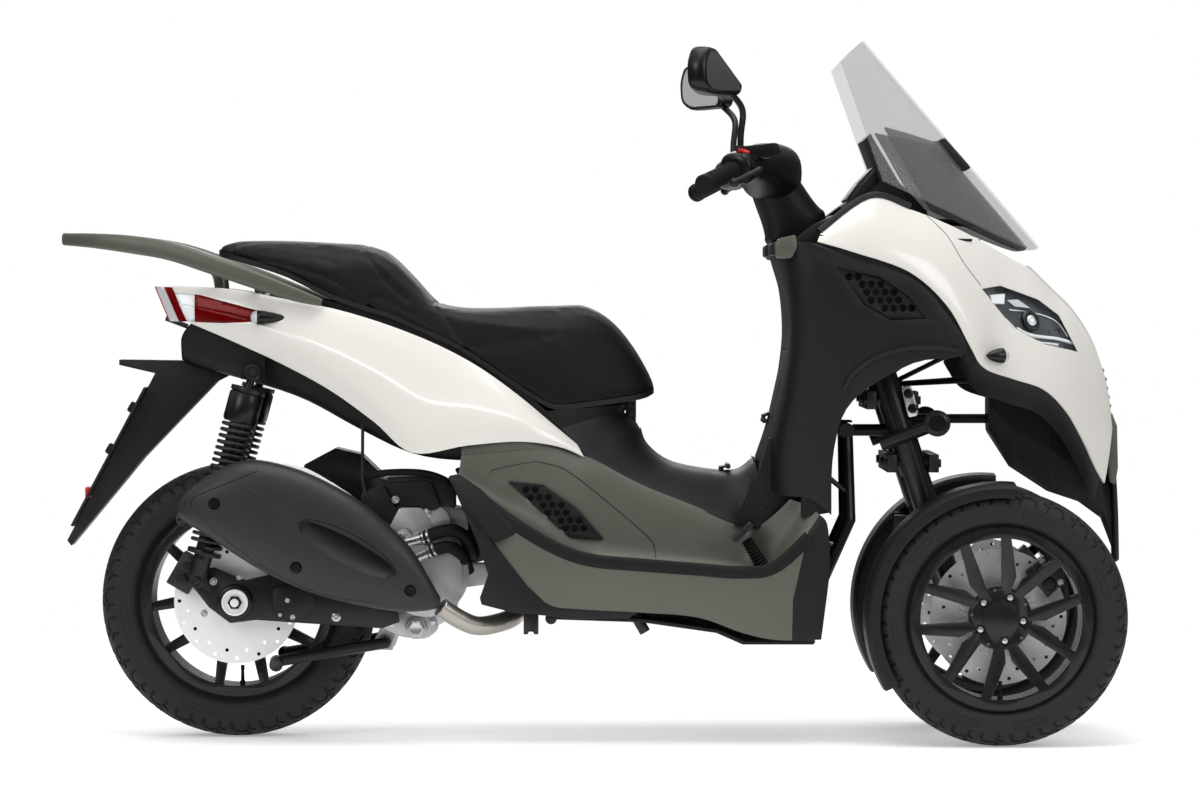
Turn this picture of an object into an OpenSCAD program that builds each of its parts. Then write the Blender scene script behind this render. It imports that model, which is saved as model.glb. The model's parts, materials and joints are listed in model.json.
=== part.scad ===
// Three-wheel motor scooter: two steered front wheels on a tilting linkage,
// a rear engine unit that drives the single rear wheel, and plastic bodywork.
// +X is forwards, +Y is to the rider's left and +Z is up. The origin lies on
// the ground, midway between the tail rack's tip and the nose.

/* [Wheels] */
// Distance between the front and rear axles
wheelbase = 1450; // [1400:5:1520]
// Distance between the centre planes of the front wheels
track = 465; // [455:1:485]
// Outer diameter of a front tyre
front_tyre_d = 484; // [474:1:490]
// Section width of a front tyre
front_tyre_w = 110; // [100:1:114]
// Diameter of a front rim at its bead seat
front_rim_d = 330; // [324:1:336]
// Outer diameter of the rear tyre
rear_tyre_d = 528; // [516:1:540]
// Section width of the rear tyre
rear_tyre_w = 140; // [130:1:144]
// Diameter of the rear rim at its bead seat
rear_rim_d = 356; // [350:1:362]
// Number of forked spokes in a wheel
spoke_count = 5; // [4:1:6]
// Diameter of a front brake disc
front_disc_d = 258; // [240:1:264]
// Diameter of the rear brake disc
rear_disc_d = 240; // [226:1:250]
// Thickness of a brake disc
disc_t = 4; // [3:0.5:5]
// Radius of a front wheel spindle
spindle_r = 15; // [12:0.5:18]

/* [Steering] */
// Lean of the front steering axes from the vertical
kingpin_rake = 18; // [15:1:21]
// Distance of a steering axis from the middle plane
kingpin_y = 135; // [130:1:138]
// Lean of the handlebar's axis from the vertical
bar_rake = 27; // [24:1:30]
// Distance from bar end to bar end
bar_w = 730; // [690:5:760]
// Width over the mirrors
mirror_span = 800; // [780:5:840]
// Gap between a front tyre and its mudguard
mudguard_gap = 12; // [9:1:16]

/* [Bodywork] */
// Thickness of a moulded panel
panel_t = 4; // [3:0.5:5]
// Gap between neighbouring panels
seam = 3; // [2:0.5:4]
// Width over the footboards
floor_w = 508; // [490:2:520]
// Width over the leg shield
shield_w = 570; // [555:2:584]
// Widest part of the seat
seat_w = 332; // [310:2:340]
// Thickness of the windscreen
screen_t = 4; // [3:0.5:6]

/* [Running gear] */
// Outer radius of a frame tube
frame_r = 15; // [12:1:17]
// Radius of the exhaust pipe
pipe_r = 19; // [16:1:22]
// Radius of a rear spring's coil line
spring_r = 27; // [24:1:30]
// Radius of a rear spring's wire
spring_wire_r = 4.5; // [3.5:0.5:6]
// Number of turns in a rear spring
spring_turns = 11; // [8:1:13]

/* [Hidden] */
$fn = 48;

// Datum lines. The floor takes up any change of the wheelbase.
drawn_wheelbase = 1450;
rear_axle_x = -680;
front_axle_x = rear_axle_x + wheelbase;
front_axle_z = front_tyre_d / 2;
rear_axle_z = rear_tyre_d / 2;
wheel_y = track / 2;
floor_back = -40;
floor_front = 440;
running_gap = 0.05;
seat_gap = 0.4;
stud_r = 6;

// Paint and plastic colours
white_paint = [0.88, 0.88, 0.86];
grey_green = [0.30, 0.31, 0.28];
black_plastic = [0.07, 0.07, 0.075];
satin_black = [0.05, 0.05, 0.055];
cast_alloy = [0.62, 0.63, 0.65];
bright_steel = [0.75, 0.75, 0.77];

// Helper functions
function lerp(a, b, t) = a + (b - a) * t;
function unit(v) = v / norm(v);
function polar(r, a) = [r * cos(a), r * sin(a)];
function stretch_x(x) =
    x + (wheelbase - drawn_wheelbase) * min(1, max(0, (x - floor_back) / (floor_front - floor_back)));
function at(x, y, z) = [stretch_x(x), y, z];
function mirrored(p) = [p[0], -p[1], p[2]];
function reversed(list) = [for (i = [len(list) - 1:-1:0]) list[i]];

// Cubic curve through a list of numbers, points or rows of points
function curve_at(p, i, t) =
    let (last = len(p) - 1, a = p[max(i - 1, 0)], b = p[i], c = p[min(i + 1, last)], d = p[min(i + 2, last)])
    0.5 * (2 * b + (c - a) * t + (2 * a - 5 * b + 4 * c - d) * t * t + (3 * b - a - 3 * c + d) * t * t * t);
function curve(p, steps) =
    [for (i = [0:len(p) - 2], k = [0:steps - 1]) curve_at(p, i, k / steps), p[len(p) - 1]];

// Outward direction of a grid of points, rows running to the right of its columns
function grid_normal(g, i, j) =
    let (m = len(g) - 1, n = len(g[0]) - 1,
        along = g[min(i + 1, m)][j] - g[max(i - 1, 0)][j],
        across = g[i][min(j + 1, n)] - g[i][max(j - 1, 0)])
    unit(cross(along, across));

// A sheet of even thickness whose outer face is the grid
module skin(g, thickness) {
    m = len(g);
    n = len(g[0]);
    count = m * n;
    outer = [for (row = g, p = row) p];
    inner = [for (i = [0:m - 1], j = [0:n - 1]) g[i][j] - thickness * grid_normal(g, i, j)];
    faces = [for (i = [0:m - 2], j = [0:n - 2])
        let (a = i * n + j, b = a + n, c = b + 1, d = a + 1)
        each [[a, c, b], [a, d, c], [count + a, count + b, count + c], [count + a, count + c, count + d]]];
    rims = concat(
        [for (i = [0:m - 2]) let (a = i * n, b = a + n) each [[a, b, count + b], [a, count + b, count + a]]],
        [for (i = [0:m - 2]) let (a = i * n + n - 1, b = a + n) each [[b, a, count + a], [b, count + a, count + b]]],
        [for (j = [0:n - 2]) let (a = j, b = j + 1) each [[b, a, count + a], [b, count + a, count + b]]],
        [for (j = [0:n - 2]) let (a = (m - 1) * n + j, b = a + 1) each [[a, b, count + b], [a, count + b, count + a]]]);
    polyhedron(concat(outer, inner), concat(faces, rims));
}

// A closed solid through rings of points, each ring clockwise seen from the first towards the last
module loft(rings) {
    m = len(rings);
    n = len(rings[0]);
    points = [for (r = rings, p = r) p];
    sides = [for (i = [0:m - 2], k = [0:n - 1])
        let (a = i * n + k, b = i * n + (k + 1) % n)
        each [[a, b + n, b], [a, a + n, b + n]]];
    caps = [[for (k = [0:n - 1]) k], [for (k = [n - 1:-1:0]) (m - 1) * n + k]];
    polyhedron(points, concat(sides, caps));
}

function tangent(p, i) = unit(p[min(i + 1, len(p) - 1)] - p[max(i - 1, 0)]);

// A ring of superellipse points about a path, side is a direction that the path never follows
function path_ring(p, i, half_u, half_v, sides, side, power) =
    let (t = tangent(p, i), u = unit(cross(side, t)), v = cross(t, u))
    [for (k = [0:sides - 1]) let (a = 360 * (k + 0.5) / sides, c = cos(a), s = sin(a))
        p[i] + half_u * sign(c) * pow(abs(c), power) * u + half_v * sign(s) * pow(abs(s), power) * v];

// A round tube, or rod, that follows a path
module tube(path, radius, side = [0, 1, 0], sides = 10) {
    loft([for (i = [0:len(path) - 1]) path_ring(path, i, radius, radius, sides, side, 1)]);
}

// A straight round rod between two points
module rod(a, b, radius) {
    d = b - a;
    translate(a)
        rotate([0, acos(d[2] / norm(d)), atan2(d[1], d[0])])
            cylinder(h = norm(d), r = radius);
}

// A cylinder whose axis runs along Y, from y0 to y1
module along_y(x, z, y0, y1, radius) {
    translate([x, y1, z])
        rotate([90, 0, 0])
            cylinder(h = y1 - y0, r = radius);
}

// A side-view outline, drawn in X and Z, made into a plate from y0 to y1
module side_plate(outline, y0, y1) {
    translate([0, y1, 0])
        rotate([90, 0, 0])
            linear_extrude(y1 - y0)
                polygon(outline);
}

// What is drawn for the right side is made for the left too
module both_sides() {
    children();
    mirror([0, 1, 0])
        children();
}

// A panel stud: a rod from the frame to a ball that meets a panel's inner face
module stud(foot, point, outward) {
    ball = point - outward * (panel_t + stud_r + 0.7);
    rod(foot, ball, stud_r * 0.8);
    translate(ball)
        sphere(r = stud_r);
}

// Panel shapes. Each is drawn for the right side as a list of stations from back to front.

// Side panel: x and z of the lower edge, x and z of the upper edge, half width at each edge
side_stations = [
    [-772, 799, -802, 868, 100, 92],
    [-690, 765, -690, 862, 124, 114],
    [-590, 720, -578, 842, 150, 134],
    [-496, 670, -480, 822, 172, 150],
    [-411, 610, -382, 792, 190, 160],
    [-338, 552, -290, 755, 205, 166],
    [-234, 566, -212, 713, 207, 168],
    [-136, 573, -138, 660, 196, 168],
    [-62, 563, -76, 608, 180, 162],
    [-14, 543, -26, 566, 162, 156]];
side_levels = [[0, 0], [0.2, 11], [0.46, 17], [0.52, 14], [0.78, 10], [0.93, 4], [1, 0]];
function side_row(s) = [for (v = side_levels)
    at(lerp(s[0], s[2], v[0]), -lerp(s[4], s[5], v[0]) - v[1] * min(1, norm([s[2] - s[0], s[3] - s[1]]) / 100),
        lerp(s[1], s[3], v[0]))];
side_grid = curve([for (s = side_stations) side_row(s)], 2);

// Tail lamp outline in the side panel
lamp_outline = [[-830, 860], [-748, 851], [-604, 813], [-598, 801], [-700, 797], [-830, 801]];

// Floor: skirt foot, skirt, outer edge, tread edge, wall foot and wall top of each station
half_floor = floor_w / 2;
floor_stations = [
    [[-128, half_floor - 16, 290], [-176, half_floor - 18, 372], [-252, 213, 499], [-255, 206, 506], [-250, 199, 517],
        [-246, 197, 546]],
    [[-72, half_floor - 14, 264], [-102, half_floor - 8, 332], [-162, half_floor - 15, 430], [-158, half_floor - 25, 438],
        [-150, 201, 446], [-168, 199, 553]],
    [[-30, half_floor - 14, 259], [-46, half_floor - 5, 318], [-76, half_floor - 4, 378], [-74, half_floor - 13, 384],
        [-70, 183, 387], [-86, 182, 556]],
    [[16, half_floor - 14, 256], [8, half_floor - 4, 306], [-3, half_floor, 352], [-2, half_floor - 9, 356],
        [0, 168, 355], [-4, 157, 529]],
    [[92, half_floor - 14, 252], [92, half_floor - 4, 300], [92, half_floor, 343],
        [92, half_floor - 9, 346], [92, 166, 344], [92, 155, 479]],
    [[200, half_floor - 14, 243], [200, half_floor - 4, 290], [200, half_floor - 2, 334],
        [200, half_floor - 11, 337], [200, 164, 335], [196, 154, 437]],
    [[284, half_floor - 14, 214], [284, half_floor - 6, 276], [284, half_floor - 4, 328],
        [285, half_floor - 13, 332], [288, 164, 331], [288, 154, 402]],
    [[350, half_floor - 16, 200], [352, half_floor - 9, 276], [352, half_floor - 8, 341],
        [350, half_floor - 17, 347], [342, 190, 350], [334, 180, 424]],
    [[434, half_floor - 24, 200], [452, half_floor - 19, 340], [446, half_floor - 17, 424],
        [424, half_floor - 27, 442], [402, 206, 456], [376, 198, 464]]];
function floor_row(s) = [for (p = s) at(p[0], -p[1], p[2])];
floor_grid = curve([for (s = floor_stations) floor_row(s)], 2);

// Tunnel: foot of the side, then the top's x, z and half width
tunnel_stations = [
    [-58, 150, 598, 58, 630, 76],
    [-8, 149, 545, 90, 604, 70],
    [40, 149, 511, 106, 566, 70],
    [98, 149, 485, 148, 533, 66],
    [192, 149, 448, 215, 517, 64],
    [258, 149, 422, 276, 514, 64],
    [292, 149, 409, 308, 534, 66],
    [332, 175, 446, 311, 536, 66]];
function tunnel_half(s) = [
    at(s[0], -s[1], s[2]),
    at(lerp(s[0], s[3], 0.5), -lerp(s[1], s[5], 0.38), lerp(s[2], s[4], 0.5)),
    at(lerp(s[0], s[3], 0.85), -s[5] - 12, lerp(s[2], s[4], 0.86)),
    at(s[3], -s[5] * 0.62, s[4] - 2)];
function whole_row(half, middle) = concat(half, [middle], reversed([for (p = half) mirrored(p)]));
tunnel_grid = curve([for (s = tunnel_stations) whole_row(tunnel_half(s), at(s[3], 0, s[4]))], 2);

// Leg shield, from the floor up: front edge, side, ridge, rider's face and its middle
half_shield = shield_w / 2;
shield_stations = [
    [[452, half_shield - 48, 436], [412, half_shield - 56, 466], [352, 196, 474], [325, 100, 505], [316, 541]],
    [[457, half_shield - 38, 560], [412, half_shield - 40, 560], [352, 214, 560], [340, 108, 590], [340, 612]],
    [[492, half_shield - 25, 652], [440, half_shield - 24, 655], [372, 240, 660], [360, 120, 682], [362, 695]],
    [[604, half_shield - 19, 722], [490, half_shield - 10, 738], [386, 258, 750], [376, 130, 766], [382, 775]],
    [[706, half_shield - 34, 742], [520, half_shield - 4, 798], [390, 268, 815], [374, 134, 828], [378, 834]],
    [[660, half_shield - 24, 826], [510, half_shield, 850], [387, 271, 868], [362, 132, 878], [362, 882]],
    [[590, half_shield - 12, 888], [480, half_shield, 900], [379, 268, 914], [350, 130, 922], [349, 924]],
    [[424, half_shield - 8, 946], [404, half_shield - 8, 949], [374, 258, 951], [352, 130, 950], [345, 950]]];
function shield_row(s) = whole_row([for (k = [0:3]) at(s[k][0], -s[k][1], s[k][2])], at(s[4][0], 0, s[4][1]));
shield_grid = curve([for (s = shield_stations) shield_row(s)], 2);

// Front fairing: lower edge, upper edge and how far the panel swells between them
fairing_stations = [
    [[424, half_shield - 8, 951], [430, 268, 966], 0],
    [[494, half_shield, 930], [524, 236, 1032], 8],
    [[596, half_shield - 10, 894], [602, 212, 1012], 14],
    [[668, half_shield - 22, 831], [676, 186, 984], 18],
    [[714, half_shield - 34, 752], [742, 154, 952], 22],
    [[742, half_shield - 50, 712], [796, 120, 922], 24],
    [[800, half_shield - 72, 691], [842, 88, 898], 24],
    [[858, 190, 671], [884, 66, 858], 22],
    [[904, 162, 628], [924, 56, 818], 18],
    [[940, 128, 570], [962, 50, 760], 13],
    [[964, 100, 522], [988, 46, 690], 8],
    [[984, 76, 490], [1003, 43, 604], 4]];
fairing_levels = [[0, 0], [0.14, 0.5], [0.34, 0.9], [0.56, 1], [0.78, 0.72], [0.92, 0.3], [1, 0]];
function fairing_row(s) = [for (v = fairing_levels)
    at(lerp(s[0][0], s[1][0], v[0]) + s[2] * v[1] * 0.3, -lerp(s[0][1], s[1][1], v[0]) - s[2] * v[1],
        lerp(s[0][2], s[1][2], v[0]))];
fairing_grid = curve([for (s = fairing_stations) fairing_row(s)], 2);

// Headlamp outline, seen from the side
headlamp_outline = [for (p = [[737, 862], [775, 868], [851, 842], [893, 812], [929, 742], [860, 757], [798, 788]])
    [stretch_x(p[0]), p[1]]];

// Nose: x, z and half width down its middle
nose_stations = [
    [843, 908, 84], [886, 866, 62], [928, 824, 52], [966, 764, 46], [991, 692, 42], [1006, 604, 39],
    [1013, 520, 37], [1018, 430, 34], [1020, 340, 30]];
function nose_row(s) = [for (v = [-1, -0.6, 0, 0.6, 1])
    at(s[0] - 9 * v * v, s[2] * v, s[1] - 4 * v * v)];
nose_grid = curve([for (s = nose_stations) nose_row(s)], 2);

// Windscreen: foot and head of the sheet from its middle outwards
screen_stations = [
    [[864, 0, 944], [524, 0, 1341]],
    [[842, 60, 940], [521, 62, 1339]],
    [[762, 118, 972], [512, 118, 1331]],
    [[664, 164, 1016], [496, 162, 1317]],
    [[552, 198, 1066], [474, 196, 1292]]];
function screen_point(s, v, depth) =
    at(lerp(s[0][0], s[1][0], v) - depth, -lerp(s[0][1], s[1][1], v), lerp(s[0][2], s[1][2], v) - depth * 0.6);
function screen_row(v, depth, reach) =
    let (half = [for (k = [reach:-1:1]) screen_point(screen_stations[k], v, depth)])
    reversed(whole_row(half, screen_point(screen_stations[0], v, depth)));
screen_grid = [for (k = [0:6]) let (row = curve(screen_row(k / 6, 0, 4), 2)) row];
mount_grid = [for (k = [0:4]) let (row = curve(screen_row(0.02 + k * 0.13, 16, 3), 2)) row];

// Steering axes
function kingpin_x(z) = front_axle_x - 210 + (690 - z) * tan(kingpin_rake);
function kingpin_at(z) = [kingpin_x(z), -kingpin_y, z];
bar_top = at(336, 0, 1093);
bar_axis = [sin(bar_rake), 0, -cos(bar_rake)];
stem_r = 14;
kingpin_r = 14;
arm_heights = [530, 650];
front_disc_y = wheel_y - 30;
rear_disc_y = 78;
axle_r = 14;
stand_pivot = [-395, 0, 185];
shock_low = [rear_axle_x - 71, -140, rear_axle_z + 44];
shock_top = [-644, -140, 704];
seat_hinge = [stretch_x(76), 0, 620];

fuel_back = stretch_x(158);
fuel_front = stretch_x(258);
fuel_pin = [fuel_front + 5, 0, 521];
glove_pin = [stretch_x(332.6), 0, 609];
glove_side = [glove_pin[0], glove_pin[2]];

// A run of straight rods with a welded ball at every corner
module pipe_run(points, radius) {
    for (i = [0:len(points) - 2])
        rod(points[i], points[i + 1], radius);
    for (i = [1:len(points) - 2])
        translate(points[i])
            sphere(r = radius * 1.12);
}

module frame() {
    rail = [at(490, -60, 590), at(494, -95, 420), at(440, -112, 300), at(300, -115, 284), [-70, -115, 284],
        [-150, -118, 360], [-168, -132, 460], [-205, -151, 566], [-325, -151, 640], [-500, -147, 742],
        [-640, -120, 778]];
    color(satin_black) {
        both_sides()
            tube(rail, frame_r - 3, [0, 1, 0], 14);
        rod([-110, -118, 322], [-110, 118, 322], frame_r - 4);
        rod(at(350, -114, 289.7), at(350, 114, 289.7), frame_r - 4);
        // Post and pin of the seat's hinge
        rod(at(76, -115, 284), at(76, 115, 284), frame_r - 4);
        // Cradle of the fuel tank
        for (x = [140, 230])
            rod(at(x, -115, 284), at(x, 115, 284), frame_r - 4);
        rod(at(76, 0, 284), seat_hinge - [0, 0, 2], 10);
        along_y(seat_hinge[0], seat_hinge[2], -44, 44, 5);
        rod(at(467, -103.5, 360), at(467, 103.5, 360), frame_r - 4);
        rod(at(490, -74, 590), at(490, 74, 590), frame_r);
        // Upper shock mounts
        both_sides() {
            side_plate([[-668, 690], [-622, 690], [-622, 778], [-668, 788]], -124, -112);
            along_y(shock_top[0], shock_top[2], shock_top[1] - 13, -118, 8);
        }
        // Panel studs
        both_sides() {
            stud([-400, -149, 684], side_grid[8][3], grid_normal(side_grid, 8, 3));
            stud([-600, -134, 774], side_grid[4][2], grid_normal(side_grid, 4, 2));
            stud(at(0, -115, 284), floor_grid[6][4], grid_normal(floor_grid, 6, 4));
            stud(at(250, -115, 284), floor_grid[11][4], grid_normal(floor_grid, 11, 4));
            stud(at(20, -115, 284), tunnel_grid[2][1], grid_normal(tunnel_grid, 2, 1));
            stud(at(492, -88, 470), shield_grid[2][3], grid_normal(shield_grid, 2, 3));
        }
    }
}

// Steering head, the column of the tilting arms and the studs of the front panels
module head_frame() {
    head_top = bar_top + 178 * bar_axis;
    head_low = bar_top + 300 * bar_axis;
    color(satin_black) {
        // Steering head with the bar's bearing
        difference() {
            rod(head_top, head_low, 27);
            rod(head_top - 5 * bar_axis, head_low + 5 * bar_axis, stem_r + running_gap);
        }
        rod(head_low - 26 * bar_axis + 37 * [cos(bar_rake), 0, sin(bar_rake)], at(566, 0, 676), frame_r + 3);
        // Column that carries the tilting arms
        side_plate([for (p = [[-22, 500], [22, 500], [22, 695], [-22, 695]]) [kingpin_x(p[1]) + p[0], p[1]]], -30, 30);
        for (z = arm_heights)
            rod([kingpin_x(z) - 54, 0, z], [kingpin_x(z) + 54, 0, z], 9);
        // Feet that are bolted to the cross tube
        for (y = [-19, 19])
            rod(at(490, y, 590) + [frame_r + seat_gap, 0, 0], [kingpin_x(590), y, 590], frame_r - 4);
        rod([kingpin_x(612) + 10, 0, 612], at(763.5, 0, 612), 9);
        stud([kingpin_x(675) + 14, 0, 680], nose_grid[3][2], grid_normal(nose_grid, 3, 2));
        both_sides() {
            // Arm that carries the instrument panel
            rod(head_top + 30 * bar_axis - [0, 20, 0], at(560, -60, 965.6), 5);
            translate(at(560, -60, 965.6))
                sphere(r = stud_r);
            stud(head_low - 20 * bar_axis - [0, 22, 0], shield_grid[7][3], grid_normal(shield_grid, 7, 3));
            stud([kingpin_x(683) - 8, -22, 683], fairing_grid[8][2], grid_normal(fairing_grid, 8, 2));
            stud([kingpin_x(678) + 12, -14, 678], fairing_grid[14][1], grid_normal(fairing_grid, 14, 1));
        }
    }
}

module engine() {
    color(cast_alloy) {
        difference() {
            union() {
                // Crankcase and cylinder
                side_plate([[-404, 240], [-370, 218], [-300, 214], [-262, 236], [-250, 300], [-236, 330], [-236, 436],
                    [-300, 452], [-380, 446], [-404, 420]], -92, 70);
                along_y(-316, 318, -116, -92, 82);
                along_y(-316, 318, -124, -116, 70);
                along_y(-300, 418, -112, -92, 30);
                along_y(-388, 236, -104, -90, 16);
                // Belt case with the final drive
                side_plate([[-390, 226], [-680, rear_axle_z - 58], [-680, rear_axle_z + 58], [-390, 404]], 84, 176);
                along_y(-372, 316, 84, 186, 94);
                along_y(-352, 316, 66, 90, 46);
                along_y(rear_axle_x, rear_axle_z, 84, 170, 62);
                side_plate([[-690, rear_axle_z + 10], [rear_axle_x - 64, rear_axle_z + 58],
                    [rear_axle_x - 84, rear_axle_z + 52], [rear_axle_x - 86, rear_axle_z + 34],
                    [-700, rear_axle_z - 30]], 100, 122);
                // Lugs of the stand
                for (y = [-70, 58])
                    side_plate([[-416, 190], [-410, 170], [-382, 168], [-362, 226], [-392, 240]], y, y + 12);
                // Front mount
                side_plate([[-250, 286], [-112, 304], [-92, 310], [-92, 333], [-240, 333]], -20, 20);
            }
            along_y(rear_axle_x, rear_axle_z, 60, 130, axle_r + running_gap);
            along_y(stand_pivot[0], stand_pivot[2], -90, 90, 10 + running_gap);
            along_y(-110, 322, -60, 60, frame_r - 4 + running_gap);
        }
        along_y(shock_low[0], shock_low[2], 122, 153, 8);
    }
}

module cylinder_head() {
    color(satin_black)
        side_plate([[-235.5, 334], [-170, 350], [-150, 374], [-150, 426], [-176, 446], [-235.5, 432]], -78, 62);
}

module air_box() {
    color(black_plastic) {
        side_plate([[-590, 430], [-560, 410], [-430, 412], [-392, 436], [-400, 492], [-450, 540], [-500, 552],
            [-560, 520]], 92, 190);
        side_plate([[-404, 450], [-380, 446.6], [-300, 452.6], [-262, 443], [-262, 480], [-290, 502], [-390, 502]], -104, 30);
        rod([-410, 20, 478], [-396, 91.6, 478], 18);
    }
}

module rear_arm() {
    x = rear_axle_x;
    z = rear_axle_z;
    color(satin_black) {
        difference() {
            union() {
                side_plate([[-366, 226], [-372, 250], [-480, 282], [-520, 330], [-560, 330], [x + 20, z + 42], [x - 40, z + 66], [x - 80, z + 62],
                    [x - 88, z + 38], [x - 50, z - 10], [x - 10, z - 40], [x + 40, z - 34], [-400, 214]], -120, -104.4);
                along_y(x, z, -128, -98, 34);
                // Brake caliper on its bracket
                translate([x, 0, z])
                    rotate([0, -150, 0])
                        translate([86, -110, -34])
                            cube([48, 56, 68]);
            }
            along_y(x, z, -140, -90, axle_r + running_gap);
            along_y(x, z, -rear_disc_y - 6, -rear_disc_y + 6, rear_disc_d / 2 + 4);
        }
        along_y(shock_low[0], shock_low[2], -153, -118, 8);
    }
}

module exhaust_pipe() {
    color(bright_steel)
        tube(curve([[-190, -56, 341], [-170, -58, 290], [-140, -74, 252], [-148, -128, 236], [-184, -172, 226],
            [-222, -200, 224], [-262, -220, 246], [-284, -229, 262]], 2), pipe_r, [0.2, 0.1, 1], 12);
}

// Silencer: x, lower z, upper z, half thickness
silencer_stations = [[-778, 432, 458, 18], [-760, 419, 482, 36], [-722, 396, 510, 48], [-672, 362, 535, 54],
    [-620, 330, 539, 55], [-549, 297, 521, 54], [-490, 277, 494, 52], [-436, 265, 462, 48], [-385, 256, 420, 42],
    [-342, 253, 376, 34], [-306, 256, 318, 25], [-284.5, 262, 280, 10]];
function silencer_ring(s) = [for (k = [0:15]) let (a = -360 * k / 16, c = cos(a), d = sin(a))
    [s[0], -232 - s[3] * sign(c) * pow(abs(c), 0.7), lerp(s[1], s[2], 0.5 + 0.5 * sign(d) * pow(abs(d), 0.7))]];

module silencer() {
    color(satin_black) {
        loft([for (s = silencer_stations) silencer_ring(s)]);
        along_y(-540, 316, -200, -120.6, 8);
    }
}

module rear_shocks() {
    d = unit(shock_top - shock_low);
    color(satin_black)
        both_sides()
            difference() {
                union() {
                    rod(shock_low + 8 * d, shock_low + 190 * d, 17);
                    rod(shock_low + 180 * d, shock_top - 8 * d, 8);
                    rod(shock_low + 50 * d, shock_low + 58 * d, 33);
                    rod(shock_top - 40 * d, shock_top - 32 * d, 33);
                    along_y(shock_low[0], shock_low[2], shock_low[1] - 11, shock_low[1] + 11, 15);
                    along_y(shock_top[0], shock_top[2], shock_top[1] - 11, shock_top[1] + 11, 15);
                }
                along_y(shock_low[0], shock_low[2], -160, -120, 8 + running_gap);
                along_y(shock_top[0], shock_top[2], -160, -120, 8 + running_gap);
            }
}

module rear_springs() {
    d = unit(shock_top - shock_low);
    u = unit(cross([0, 1, 0], d));
    v = cross(d, u);
    lower = 58 + spring_wire_r + seat_gap;
    upper = norm(shock_top - shock_low) - 40 - spring_wire_r - seat_gap;
    count = spring_turns * 10;
    path = [for (k = [0:count]) let (a = 36 * k)
        shock_low + lerp(lower, upper, k / count) * d + spring_r * (cos(a) * u + sin(a) * v)];
    color([0.10, 0.10, 0.11])
        both_sides()
            tube(path, spring_wire_r, d, 6);
}

module storage_bin() {
    stations = [[-788, 726, 772, 56, 64], [-770, 719, 798, 70, 76], [-701, 697, 846, 86, 92], [-557, 660, 848, 98, 112],
        [-481, 613, 820, 108, 120], [-400, 572, 792, 114, 128], [-328, 536, 762, 118, 132], [-200, 532, 700, 118, 132],
        [-112, 538, 636, 116, 128]];
    rings = [for (s = stations)
        [[s[0], 0, s[2]], [s[0], -s[4], s[2]], [s[0], -s[4], s[2] - 14], [s[0], -s[3], s[1] + 16], [s[0], -s[3] + 14, s[1]],
            [s[0], 0, s[1]],
            [s[0], s[3] - 14, s[1]], [s[0], s[3], s[1] + 16], [s[0], s[4], s[2] - 14], [s[0], s[4], s[2]]]];
    color(black_plastic)
        difference() {
            union() {
                loft(rings);
                // Lugs that rest against the frame rails
                for (y0 = [-136.8, 110])
                    along_y(-400, 683.7, y0, y0 + 26.8, 7);
                for (y0 = [-121.5, 95])
                    along_y(-560, 757.4, y0, y0 + 26.5, 6);
            }
            side_plate([[-462, 640], [-330, 560], [-205, 556], [-128, 560], [-128, 900], [-462, 900]], -106, 106);
        }
}

module plate_holder() {
    color(black_plastic) {
        side_plate([[-700, 695.4], [-770, 717.4], [-788, 724.4], [-909, 726], [-909, 716], [-840, 700], [-1010, 378],
            [-1002, 368], [-862, 538], [-722, 684]], -34, 34);
        translate([-926.5, 0, 540])
            rotate([0, 28, 0])
                difference() {
                    cube([5, 150, 300], center = true);
                    for (y = [-60, 60])
                        translate([-10, y, 110])
                            rotate([0, 90, 0])
                                cylinder(h = 20, r = 3.5);
                }
    }
}

module side_panels() {
    color(white_paint)
        both_sides()
            difference() {
                skin(side_grid, panel_t);
                side_plate(lamp_outline, -300, -20);
            }
}

// An outline drawn in towards its middle
function inset(outline, by) =
    let (c = [for (p = outline) 1] * outline / len(outline))
    [for (p = outline) c + (p - c) * (1 - by / norm(p - c))];

module tail_lamps() {
    color([0.6, 0.03, 0.03])
        both_sides()
            intersection() {
                skin(side_grid, 14);
                side_plate(inset(lamp_outline, 0.8), -300, -20);
            }
}

module tail_cover() {
    g = [for (z = [800, 822, 846, 866]) [for (v = [1, 0.6, 0, -0.6, -1])
        [-806 - (z - 800) * 0.42 - 12 * (1 - v * v), 88 * v, z]]];
    color(black_plastic) {
        skin(g, panel_t);
        rod([-824, 0, 806], [-779.6, 0, 790], 5);
    }
}

// Bullet lamp on a short stalk: where it meets the panel, the panel's direction and its length
module bullet_lamp(point, outward, reach) {
    foot = point + outward * (stud_r + seat_gap);
    head = [foot[0], foot[1] - reach, foot[2]];
    translate(foot)
        sphere(r = stud_r);
    rod(foot, head, 5);
    translate(head - [26, 0, 0])
        rotate([0, 90, 0])
            rotate_extrude()
                polygon([[0, 0], [8, 2], [13, 8], [17, 22], [18, 36], [17, 46], [12, 52], [0, 54]]);
}

module indicators() {
    color(black_plastic)
        both_sides() {
            bullet_lamp(side_grid[3][3], grid_normal(side_grid, 3, 3), 34);
            bullet_lamp(fairing_grid[10][1], grid_normal(fairing_grid, 10, 1), 26);
        }
}

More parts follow.
